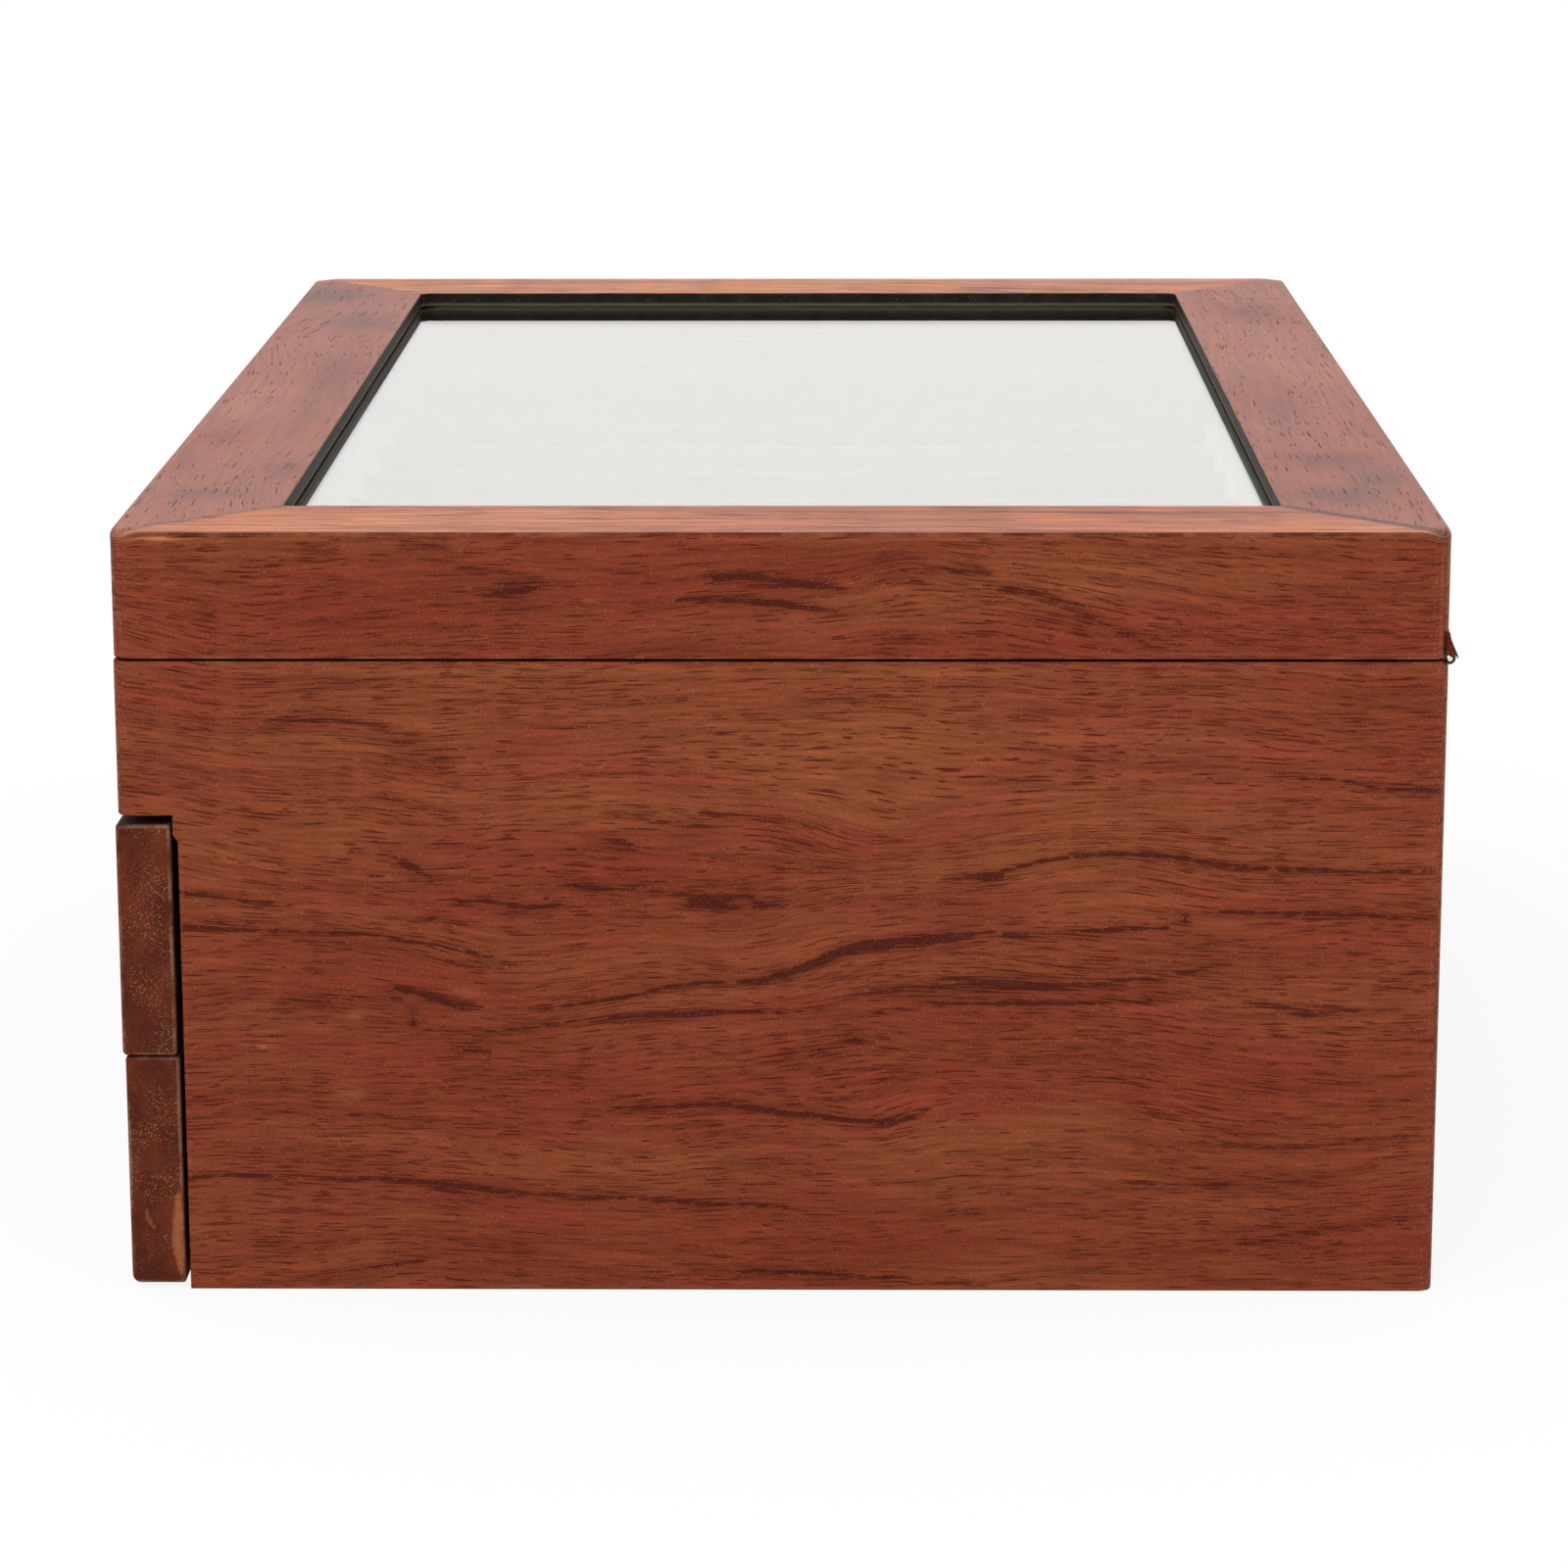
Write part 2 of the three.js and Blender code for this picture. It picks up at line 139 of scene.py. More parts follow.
def node(tree, kind, sockets=None, **options):
    made = tree.nodes.new("ShaderNode" + kind)
    for key, value in options.items():
        setattr(made, key, value)
    for key, value in (sockets or {}).items():
        feed(made.inputs[key], value)
    return made


def calc(operation, *values):
    made = node(treeOf(*values), "Math", operation=operation)
    for socket, value in zip(made.inputs, values):
        feed(socket, value)
    return made.outputs[0]


def times(first, second):
    return calc("MULTIPLY", first, second)


def linear(value, gain, base):
    return calc("MULTIPLY_ADD", value, gain, base)


def vectorCalc(operation, *values):
    made = node(treeOf(*values), "VectorMath", operation=operation)
    for socket, value in zip(made.inputs, values):
        feed(socket, value)
    return made.outputs["Vector"]


def combined(x, y, z):
    return node(treeOf(x, y, z), "CombineXYZ", {0: x, 1: y, 2: z}).outputs[0]


# A smooth rise from 0 to 1 as value goes from low to high, or a fall where high is the lower.
def rise(value, low, high):
    sockets = {"Value": value, "From Min": low, "From Max": high}
    return node(treeOf(value), "MapRange", sockets, interpolation_type="SMOOTHSTEP").outputs["Result"]


def mixed(share, first, second, mode="MIX"):
    made = node(treeOf(share, first, second), "Mix", data_type="RGBA", blend_type=mode)
    for socket, value in zip((made.inputs[0], made.inputs[6], made.inputs[7]), (share, first, second)):
        feed(socket, value)
    return made.outputs[2]


# Noise on a vector in millimetres that is stretched: one wave is size long each way. It is shifted by
# noiseShift, as noise repeats itself where all three parts are whole numbers.
noiseShift = (0.31, 0.47, 0.37)


def noise(vector, size, detail=2.0, rough=0.5):
    scaled = vectorCalc("MULTIPLY_ADD", vector, tuple(1 / s for s in size), noiseShift)
    sockets = {"Vector": scaled, "Scale": 1.0, "Detail": detail, "Roughness": rough}
    return node(treeOf(vector), "TexNoise", sockets, noise_dimensions="3D").outputs["Fac"]


# A colour as it looks on a screen, turned into the linear one that shaders take.
def tint(code):
    parts = [((code >> shift) & 255) / 255 for shift in (16, 8, 0)]
    return (*(c / 12.92 if c < 0.04045 else ((c + 0.055) / 1.055) ** 2.4 for c in parts), 1.0)


def newGroup(name, inputs, outputs):
    group = bpy.data.node_groups.new(name, "ShaderNodeTree")
    for kind, label, value in inputs:
        socket = group.interface.new_socket(label, in_out="INPUT", socket_type="NodeSocket" + kind)
        if value is not None:
            socket.default_value = value
    for kind, label in outputs:
        group.interface.new_socket(label, in_out="OUTPUT", socket_type="NodeSocket" + kind)
    return group, group.nodes.new("NodeGroupInput").outputs, group.nodes.new("NodeGroupOutput").inputs


def use(group, **sockets):
    made = node(treeOf(*sockets.values()), "Group", node_tree=group)
    for key, value in sockets.items():
        feed(made.inputs[key], value)
    return made.outputs


def newMaterial(name):
    made = bpy.data.materials.new(name)
    made.use_nodes = True
    return made, made.node_tree, made.node_tree.nodes["Principled BSDF"]


# Sets or links a shader's sockets by name.
def dress(shader, sockets):
    for name, value in sockets.items():
        feed(shader.inputs[name], value)


# What a material shows: a share of the second shader over the first.
def showMix(share, first, second):
    tree = treeOf(share)
    mix = node(tree, "MixShader", {0: share, 1: first.outputs[0], 2: second.outputs[0]})
    feed(tree.nodes["Material Output"].inputs["Surface"], mix.outputs[0])


# Stage: white paper all round. In mirrors the paper looks hazy low down, and it is a little darker in the
# box's shadow. shadowReach is in metres from the middle.
stageSettings = {
    "paper": (1.0, 1.0, 1.0, 1.0),
    "haze": (0.82, 0.803, 0.77, 1.0),
    "clear": (1.0, 0.981, 0.945, 1.0),
    "hazeTop": (0.1, 0.185),
    "fillStrength": 0.5,
    "floorSize": 24.0,
    "floor": (0.86, 0.86, 0.86, 1.0),
    "floorRoughness": 0.9,
    "shadowShare": 0.12,
    "shadowReach": (0.34, 0.13),
}
# Each lamp: where it stands, its width and height, its power in watts. All face the box's middle.
lamps = {
    "keySoftbox": ((1.7, -0.7, 1.5), 1.4, 1.2, 21),
    "fillSoftbox": ((0.9, 1.6, 1.1), 1.4, 1.2, 9),
    "topSoftbox": ((-0.3, -0.5, 2.0), 1.6, 1.6, 14),
    "backSoftbox": ((-2.4, 0.0, 0.64), 3.4, 0.75, 3.25),
}


# Rays that see the stage itself and not its light: from the camera, off a mirror or through glass.
def seeingRay(tree):
    path = node(tree, "LightPath").outputs
    seen = calc("MAXIMUM", path["Is Camera Ray"], path["Is Glossy Ray"])
    return calc("MAXIMUM", seen, path["Is Transmission Ray"])


def makeWorld(settings):
    world = bpy.data.worlds.new("studio")
    bpy.context.scene.world = world
    world.use_nodes = True
    tree = world.node_tree
    tree.nodes.clear()
    glow = node(tree, "Background", {"Color": (1, 1, 1, 1), "Strength": settings["fillStrength"]})
    height = node(tree, "SeparateXYZ", {0: node(tree, "TexCoord").outputs["Generated"]}).outputs[2]
    mirrored = mixed(rise(height, *settings["hazeTop"]), settings["haze"], settings["clear"])
    direct = node(tree, "LightPath").outputs["Is Camera Ray"]
    colour = mixed(direct, mirrored, settings["paper"])
    paper = node(tree, "Background", {"Color": colour, "Strength": 1.0})
    mix = node(tree, "MixShader", {0: seeingRay(tree), 1: glow.outputs[0], 2: paper.outputs[0]})
    node(tree, "OutputWorld", {"Surface": mix.outputs[0]})


def makeFloor(settings):
    size = settings["floorSize"] / 2
    mesh = bpy.data.meshes.new("floor")
    corners = [(-size, -size, 0), (size, -size, 0), (size, size, 0), (-size, size, 0)]
    mesh.from_pydata(corners, [], [(0, 1, 2, 3)])
    floor = bpy.data.objects.new("floor", mesh)
    bpy.context.scene.collection.objects.link(floor)
    paper, tree, shader = newMaterial("floorPaper")
    dress(shader, {"Base Color": settings["floor"], "Roughness": settings["floorRoughness"]})
    glow = node(tree, "Emission", {"Color": settings["paper"], "Strength": 1.0})
    place = node(tree, "TexCoord").outputs["Object"]
    away = node(tree, "VectorMath", {0: place}, operation="LENGTH").outputs["Value"]
    near = rise(away, *settings["shadowReach"])
    paperShare = linear(near, -settings["shadowShare"], 1.0)
    share = times(seeingRay(tree), paperShare)
    showMix(share, shader, glow)
    mesh.materials.append(paper)


def makeLamps(lamps):
    aim = Vector((0, 0, shell["lidTop"] * mm / 2))
    for name, (place, width, height, power) in lamps.items():
        data = bpy.data.lights.new(name, "AREA")
        data.shape, data.size, data.size_y, data.energy = "RECTANGLE", width, height, power
        lamp = bpy.data.objects.new(name, data)
        lamp.location = place
        lamp.rotation_euler = (aim - Vector(place)).to_track_quat("-Z", "Y").to_euler()
        lamp.visible_camera = False
        lamp.visible_glossy = name != "topSoftbox"
        bpy.context.scene.collection.objects.link(lamp)


bpy.context.scene.view_settings.view_transform = "Standard"
makeWorld(stageSettings)
makeFloor(stageSettings)
makeLamps(lamps)
print("stage lit")


# Effects that several finishes share

# Short dark dashes of open pores. Each lies at a random point of a cell that is drawn out along the
# grain: the mask is 1 inside an ellipse round the point, and Amount is the share of cells that have one.
def makePoreGroup():
    inputs = [("Vector", "Vector", None), ("Float", "Length", 4.0), ("Float", "Row", 1.1)]
    inputs += [("Float", "Thickness", 0.2), ("Float", "Amount", 0.5), ("Float", "Shift", 0.0)]
    group, given, out = newGroup("poreDashes", inputs, [("Float", "Mask"), ("Float", "Depth")])
    cell = combined(times(given["Length"], 1.5), given["Row"], 1.0)
    scaled = vectorCalc("DIVIDE", given["Vector"], cell)
    moved = vectorCalc("ADD", scaled, combined(given["Shift"], given["Shift"], 0.0))
    dots = node(group, "TexVoronoi", {"Vector": moved, "Scale": 1.0}, voronoi_dimensions="2D").outputs
    away = vectorCalc("MULTIPLY", vectorCalc("SUBTRACT", moved, dots["Position"]), cell)
    parts = node(group, "SeparateXYZ", {0: away}).outputs
    luck = node(group, "SeparateColor", {0: dots["Color"]}).outputs
    long = times(given["Length"], linear(luck[1], 0.42, 0.12))
    along = calc("DIVIDE", parts[0], long)
    across = calc("DIVIDE", parts[1], times(given["Thickness"], 0.5))
    squares = [calc("POWER", calc("ABSOLUTE", part), 2.0) for part in (along, across)]
    reach = calc("ADD", *squares)
    there = calc("LESS_THAN", luck[0], given["Amount"])
    mask = times(rise(reach, 1.5, 0.4), there)
    feed(out["Mask"], times(mask, linear(luck[2], 0.4, 0.6)))
    feed(out["Depth"], mask)
    return group


# Three waves of tone along the grain: broad figure, fibres and hair-fine lines, each near 0.5.
def makeFibreGroup():
    inputs = [("Vector", "Vector", None), ("Float", "Stretch", 1.0)]
    outputs = [("Float", "Figure"), ("Float", "Fibre"), ("Float", "Hair")]
    group, given, out = newGroup("fibreTone", inputs, outputs)
    vector = vectorCalc("DIVIDE", given["Vector"], combined(given["Stretch"], 1.0, 1.0))
    feed(out["Figure"], noise(vector, (46, 9, 9), 3.0, 0.55))
    feed(out["Fibre"], noise(vector, (15, 0.9, 0.9), 4.0, 0.62))
    feed(out["Hair"], noise(vector, (5, 0.28, 0.28), 2.0, 0.6))
    return group


# Worn edges: the Wear mark is 1 on an eased edge and fades away from it. Noise breaks it up.
def makeWearGroup():
    inputs = [("Float", "Wear", 0.0), ("Vector", "Vector", None), ("Float", "Amount", 0.5)]
    group, given, out = newGroup("edgeWear", inputs, [("Float", "Mask"), ("Float", "Line")])
    patchy = noise(given["Vector"], (6, 6, 6), 5.0, 0.65)
    level = calc("ADD", given["Wear"], linear(patchy, 1.6, -0.8))
    feed(out["Mask"], times(rise(level, 0.8, 1.25), given["Amount"]))
    feed(out["Line"], rise(given["Wear"], 0.8, 0.97))
    return group


# Fine flecks: round dots in a share of small cells.
def makeFleckGroup():
    inputs = [("Vector", "Vector", None), ("Float", "Size", 0.3), ("Float", "Amount", 0.1)]
    group, given, out = newGroup("flecks", inputs, [("Float", "Mask"), ("Float", "Luck")])
    size = given["Size"]
    scaled = vectorCalc("DIVIDE", given["Vector"], combined(size, size, size))
    dots = node(group, "TexVoronoi", {"Vector": scaled, "Scale": 1.0}).outputs
    luck = node(group, "SeparateColor", {0: dots["Color"]}).outputs
    there = calc("LESS_THAN", luck[0], given["Amount"])
    feed(out["Mask"], times(rise(dots["Distance"], 0.55, 0.25), there))
    feed(out["Luck"], luck[1])
    return group


poreDashes = makePoreGroup()
fibreTone = makeFibreGroup()
edgeWear = makeWearGroup()
flecks = makeFleckGroup()


def markOf(tree, name):
    return node(tree, "Attribute", attribute_name=name).outputs["Fac"]


def objectMillimetres(tree):
    return vectorCalc("MULTIPLY", node(tree, "TexCoord").outputs["Object"], (1 / mm, 1 / mm, 1 / mm))


# depth is in millimetres.
def bumped(shader, height, depth):
    bump = node(treeOf(height), "Bump", {"Height": height, "Distance": depth * mm, "Strength": 1.0})
    feed(shader.inputs["Normal"], bump.outputs[0])


# A coat of colour with the look's gloss.
def coat(shader, look, ground, rough):
    dress(shader, {"Base Color": ground, "Roughness": rough, "Specular IOR Level": look["gloss"]})


def rubbedEdges(ground, wear, place, amount, colour):
    worn = use(edgeWear, Wear=wear, Vector=place, Amount=amount)
    return mixed(worn["Mask"], ground, colour)


# Veneer: red-brown, with golden and redder zones (tone mark), painted dark streaks (streak mark), pores
# that follow the grain map, pale flecks (golden specks and painted glints) and worn edges under a satin
# lacquer.
veneerLook = {
    "deep": tint(0x75301C),
    "golden": tint(0x834527),
    "red": tint(0x7C3023),
    "dusk": tint(0x4B241F),
    "bright": tint(0xB26E46),
    "streak": tint(0x42160C),
    "halo": tint(0x622513),
    "pore": tint(0x50160A),
    "fleck": tint(0xC89A7A),
    "worn": tint(0xA86848),
    "gloss": 0.08,
    "roughness": 0.47,
    "contrast": 1.0,
    "poreShare": 1.0,
    "poreLength": 1.0,
    "poreDepth": 0.05,
    # Two kinds: length, row, thickness, share added by a crowd, least share, shift of the pattern.
    "pores": [(6.5, 0.6, 0.2, 0.5, 0.2, 0.0), (3.4, 0.5, 0.16, 0.45, 0.12, 17.3)],
}
# The lid's top is lighter and shinier, with fewer pores. The end rails' tan and bold fibres are a painted
# sheen.
topVeneerLook = dict(
    veneerLook, deep=tint(0x823B28), golden=tint(0x914D33), red=tint(0x883B2D), pore=tint(0x32110B),
    gloss=0.3, poreShare=0.26, poreLength=0.6, poreDepth=0.12,
)
sheenPaintedEndVeneerLook = dict(
    topVeneerLook, deep=tint(0xA4542E), golden=tint(0xB96D3D), red=tint(0xAD5834),
    gloss=0.26, contrast=2.4, poreShare=0.5, poreLength=1.0,
)


def grey(value):
    return node(treeOf(value), "CombineColor", {0: value, 1: value, 2: value}).outputs[0]


def makeVeneer(name, look):
    made, tree, shader = newMaterial(name)
    flat = vectorCalc("MULTIPLY", node(tree, "UVMap", uv_map="grain").outputs[0], (1 / mm, 1 / mm, 0))
    place = objectMillimetres(tree)
    waver = calc("ADD", linear(noise(flat, (15, 5, 1), 1.0), 0.8, -0.4),
                 linear(noise(flat, (38, 20, 1), 1.0), 2.6, -1.3))
    grain = vectorCalc("ADD", flat, combined(0.0, waver, 0.0))
    waves = use(fibreTone, Vector=grain)
    streak, tone, wear = (markOf(tree, mark) for mark in ("streak", "tone", "wear"))

    level = calc("ADD", times(tone, 0.4), waves["Figure"])
    ground = mixed(rise(level, 0.1, 0.9), look["deep"], look["golden"])
    redness = rise(noise(grain, (34, 6, 1), 2.0), 0.42, 0.68)
    ground = mixed(times(redness, 0.5), ground, look["red"])
    ground = mixed(times(rise(tone, -0.5, -1.8), 0.7), ground, look["dusk"])
    ground = mixed(rise(tone, 1.2, 2.2), ground, look["bright"])
    shade = calc("ADD", linear(waves["Fibre"], 1.2, -0.6), linear(waves["Hair"], 1.0, -0.5))
    shade = times(shade, look["contrast"])
    grit = linear(noise(place, (0.34, 0.34, 0.34), 2.0, 0.7), 0.6, 0.7)
    ground = mixed(1.0, ground, grey(calc("ADD", shade, grit)), "MULTIPLY")

    # A vein is dark at its core, stronger here and weaker there, with a halo of torn filaments beside it.
    vary = linear(noise(grain, (19, 2.2, 1), 2.0), 1.6, 0.25)
    halo = rise(calc("POWER", calc("MAXIMUM", streak, 0.0), 0.14), 0.15, 1.0)
    ground = mixed(times(halo, 0.35), ground, look["halo"])
    smoke = rise(noise(grain, (26, 3.5, 1), 3.0), 0.5, 0.7)
    core = calc("MAXIMUM", times(streak, vary), times(halo, 0.36))
    dark = calc("ADD", core, times(smoke, 0.24))
    edge = linear(dark, -0.6, 0.77)
    torn = noise(grain, (7, 0.26, 1), 3.0, 0.6)
    feather = rise(calc("SUBTRACT", torn, edge), -0.02, 0.05)
    ground = mixed(times(feather, 0.88), ground, look["streak"])

    crowd = rise(linear(halo, 0.12, noise(grain, (30, 7, 1), 2.0)), 0.35, 0.62)
    share = look["poreShare"]
    rows = []
    for length, row, thickness, more, least, shift in look["pores"]:
        amount = linear(crowd, more * share, least * share)
        rows.append(use(poreDashes, Vector=grain, Length=length * look["poreLength"], Row=row,
                        Thickness=thickness, Amount=amount, Shift=shift))
    pores = calc("MAXIMUM", *(row["Mask"] for row in rows))
    ground = mixed(pores, ground, look["pore"])

    # Pale flecks: partly golden specks in the wood, partly painted glints of the lacquer.
    dots = use(flecks, Vector=place, Size=0.28, Amount=0.4)
    fleckGlintShare = times(dots["Mask"], times(dots["Luck"], 0.28))
    ground = mixed(fleckGlintShare, ground, look["fleck"])
    worn = use(edgeWear, Wear=wear, Vector=place, Amount=0.4)
    ground = mixed(times(worn["Line"], 0.4), ground, look["halo"])
    inlay = times(rise(wear, 0.2, 0.3), rise(wear, 0.66, 0.5))
    rubbed = rise(noise(place, (9, 9, 9), 3.0), 0.4, 0.7)
    ground = mixed(times(inlay, times(rubbed, 0.2)), ground, look["worn"])
    ground = mixed(worn["Mask"], ground, look["worn"])

    smear = noise(place, (30, 30, 30), 4.0, 0.6)
    rough = calc("ADD", linear(smear, 0.12, look["roughness"] - 0.06), times(pores, 0.2))
    coat(shader, look, ground, rough)
    peel = times(noise(place, (1.6, 1.6, 1.6), 2.0), 0.12)
    depth = calc("MAXIMUM", *(row["Depth"] for row in rows))
    height = calc("SUBTRACT", calc("ADD", peel, times(waves["Hair"], 0.1)), depth)
    bumped(shader, height, look["poreDepth"])
    return made


# Brown edge paint on the ends of the drawer fronts and the rims: speckled, scuffed paler at the edges, and
# with an orange smear where the streak mark says so.
paintLook = {
    "ground": tint(0x612915),
    "dark": tint(0x4B1D0E),
    "speck": tint(0xB08C6C),
    "scuff": tint(0x9C785F),
    "smear": tint(0xA2603A),
    "gloss": 0.08,
    "roughness": 0.6,
}
# In the shade behind the drawer fronts.
shadedPaintLook = dict(paintLook, ground=tint(0x2C1710), dark=tint(0x1D0F0A), speck=tint(0x5C4536))


def makeEdgePaint(name, look):
    made, tree, shader = newMaterial(name)
    place = objectMillimetres(tree)
    cloud = noise(place, (5, 5, 9), 4.0, 0.6)
    ground = mixed(rise(cloud, 0.35, 0.65), look["dark"], look["ground"])
    fine = use(flecks, Vector=place, Size=0.24, Amount=0.4)
    crowd = rise(noise(place, (6, 6, 6), 2.0), 0.4, 0.7)
    speckle = times(fine["Mask"], linear(crowd, 0.6, 0.1))
    ground = mixed(times(speckle, fine["Luck"]), ground, look["speck"])
    marked = markOf(tree, "streak")
    smear = calc("ADD", marked, linear(noise(place, (1.5, 1.5, 4), 3.0), 0.6, -0.3))
    ground = mixed(times(rise(smear, 0.25, 0.8), 0.7), ground, look["smear"])
    wear = calc("POWER", markOf(tree, "wear"), 3.0)
    ground = rubbedEdges(ground, wear, place, 0.45, look["scuff"])
    coat(shader, look, ground, linear(cloud, 0.2, look["roughness"] - 0.1))
    bumped(shader, noise(place, (0.7, 0.7, 0.7), 3.0), 0.04)
    return made


# Stained wood on the parts inside, with the grain along one axis of the box.
stainLook = {
    "light": tint(0x6A3F2C),
    "dark": tint(0x472618),
    "pore": tint(0x24110B),
    "worn": tint(0x8A5D43),
    "gloss": 0.2,
    "roughness": 0.58,
}


def makeStain(name, look, axis):
    made, tree, shader = newMaterial(name)
    place = objectMillimetres(tree)
    parts = node(tree, "SeparateXYZ", {0: place}).outputs
    others = [parts[i] for i in range(3) if i != axis]
    across = calc("ADD", others[0], times(others[1], 0.83))
    grain = combined(parts[axis], across, 0.0)
    waves = use(fibreTone, Vector=grain, Stretch=1.6)
    ground = mixed(rise(waves["Figure"], 0.3, 0.7), look["dark"], look["light"])
    shade = linear(waves["Fibre"], 0.7, 0.65)
    ground = mixed(1.0, ground, grey(shade), "MULTIPLY")
    pores = use(poreDashes, Vector=grain, Length=4.0, Row=1.0, Thickness=0.18, Amount=0.55)
    ground = mixed(times(pores["Mask"], 0.7), ground, look["pore"])
    ground = rubbedEdges(ground, markOf(tree, "wear"), place, 0.45, look["worn"])
    coat(shader, look, ground, linear(waves["Fibre"], 0.2, look["roughness"] - 0.1))
    bumped(shader, calc("SUBTRACT", waves["Hair"], pores["Depth"]), 0.04)
    return made


# Velvet: short black pile with paler sheen at grazing angles, brushed patches and a little lint.
velvetLook = {
    "dark": tint(0x0E0D0E),
    "brushed": tint(0x262326),
    "lint": tint(0x8C8880),
    "roughness": 0.95,
    "gloss": 0.2,
    "sheen": 0.6,
    "sheenRoughness": 0.4,
}


def makeVelvet(look):
    made, tree, shader = newMaterial("velvet")
    place = objectMillimetres(tree)
    nap = noise(place, (14, 22, 14), 4.0, 0.6)
    pile = noise(place, (0.28, 0.28, 0.28), 1.0, 0.6)
    level = calc("ADD", nap, linear(pile, 0.16, -0.08))
    ground = mixed(rise(level, 0.4, 0.75), look["dark"], look["brushed"])
    lint = use(flecks, Vector=place, Size=0.7, Amount=0.004)
    ground = mixed(times(lint["Mask"], 0.35), ground, look["lint"])
    coat(shader, look, ground, look["roughness"])
    dress(shader, {"Sheen Weight": look["sheen"], "Sheen Roughness": look["sheenRoughness"]})
    bumped(shader, pile, 0.012)
    return made


# Black satin paint in the lid's opening, brushed on. A band of it just over the pane is painted lighter: a
# painted reflection.
blackPaintLook = {
    "dark": tint(0x14110F),
    "brushed": tint(0x231E1A),
    "lit": tint(0x70664C),
    "litFrom": (-0.6, -0.1),
    "litTo": (1.15, 0.2),
    "dust": tint(0x6B6256),
    "worn": tint(0x4A3A2E),
    "gloss": 0.1,
    "roughness": 0.55,
}


def makeBlackPaint(look):
    made, tree, shader = newMaterial("blackPaint")
    place = objectMillimetres(tree)
    cloud = noise(place, (4, 4, 4), 4.0, 0.6)
    ground = mixed(rise(cloud, 0.35, 0.7), look["dark"], look["brushed"])
    height = node(tree, "SeparateXYZ", {0: place}).outputs[2]
    # The painted reflection: a lighter band just over the pane.
    reflectionBand = [rise(height, *(glassTop + level for level in look[key])) for key in ("litTo", "litFrom")]
    ground = mixed(times(times(*reflectionBand), 0.9), ground, look["lit"])
    dust = use(flecks, Vector=place, Size=0.5, Amount=0.06)
    ground = mixed(times(dust["Mask"], 0.25), ground, look["dust"])
    ground = rubbedEdges(ground, markOf(tree, "wear"), place, 0.3, look["worn"])
    coat(shader, look, ground, linear(cloud, 0.2, look["roughness"] - 0.1))
    bumped(shader, noise(place, (1.2, 1.2, 1.2), 3.0), 0.03)
    return made


# Clear glass, faintly hazed, with a little dust. Lamps shine through it, so that what lies under it is lit.
glassLook = {
    "clear": (0.93, 0.95, 0.93, 1),
    "dust": (0.7, 0.7, 0.68, 1),
    "shadow": (0.86, 0.88, 0.86, 1),
    "ior": 1.52,
}


def makeGlass(look):
    made, tree, shader = newMaterial("glass")
    place = objectMillimetres(tree)
    dust = use(flecks, Vector=place, Size=0.8, Amount=0.02)
    haze = noise(place, (40, 40, 40), 4.0, 0.6)
    ground = mixed(dust["Mask"], look["clear"], look["dust"])
    rough = linear(rise(haze, 0.4, 0.8), 0.02, 0.004)
    dress(shader, {"Base Color": ground, "Roughness": rough, "IOR": look["ior"], "Transmission Weight": 1.0})
    through = node(tree, "BsdfTransparent", {"Color": look["shadow"]})
    showMix(node(tree, "LightPath").outputs["Is Shadow Ray"], shader, through)
    return made


# Hinge metal with fine lines drawn along the box and dull spots: dark on the leaves, bright on the pin's
# ends and the screws.
metalLooks = {
    "hingeMetal": {"colour": tint(0x4E4437), "dull": tint(0x2C261E), "roughness": 0.38},
    "pinMetal": {"colour": tint(0xEAE7E0), "dull": tint(0xB9B2A4), "roughness": 0.25},
    "screwMetal": {"colour": tint(0xD2CEC4), "dull": tint(0x8A8273), "roughness": 0.3},
}


def makeMetal(name, look):
    made, tree, shader = newMaterial(name)
    place = objectMillimetres(tree)
    drawn = noise(place, (9, 0.12, 0.12), 2.0, 0.6)
    spots = noise(place, (1.5, 1.5, 1.5), 4.0, 0.65)
    spotted = rise(spots, 0.5, 0.75)
    ground = mixed(spotted, look["colour"], look["dull"])
    rough = calc("ADD", linear(drawn, 0.15, look["roughness"] - 0.08), times(spotted, 0.2))
    dress(shader, {"Base Color": ground, "Metallic": 1.0, "Roughness": rough})
    bumped(shader, drawn, 0.006)
    return made


finishes = {
    "veneer": makeVeneer("veneer", veneerLook),
    "topVeneer": makeVeneer("topVeneer", topVeneerLook),
    "sheenPaintedEndVeneer": makeVeneer("sheenPaintedEndVeneer", sheenPaintedEndVeneerLook),
    "edgePaint": makeEdgePaint("edgePaint", paintLook),
    "shadedPaint": makeEdgePaint("shadedPaint", shadedPaintLook),
    "stainAlongX": makeStain("stainAlongX", stainLook, 0),
    "stainAlongY": makeStain("stainAlongY", stainLook, 1),
    "velvet": makeVelvet(velvetLook),
    "blackPaint": makeBlackPaint(blackPaintLook),
    "glass": makeGlass(glassLook),
    **{name: makeMetal(name, look) for name, look in metalLooks.items()},
}
print("finishes:", ", ".join(finishes))


# Figure of the wood. Besides its lifts, zones and streaks, a figure says how far its places are shifted
# along the face, how far its grain map is shifted and drawn out, and whether it lies flat on the lid.
plainFigure = {"alongShift": 0.0, "grainShift": 0.0, "draw": 1.0, "flat": False}
rampFade = 3.0  # how many times longer a ramp takes to come back than to climb


# How far the grain is lifted at a point. A hump is a bell. A ramp climbs smoothly through its middle and
# comes back slowly to both sides. Both die away across the grain as a bell does.
def grainLift(along, across, lifts):
    total = np.zeros(np.broadcast(along, across).shape)
    for kind, a, b, amount, longWay, crossWay in lifts:
        run = (along - a) / longWay
        shape = np.exp(-run ** 2) if kind == "hump" else np.tanh(run) * np.exp(-(run / rampFade) ** 2)
        total += amount * shape * np.exp(-((across - b) / crossWay) ** 2)
    return total


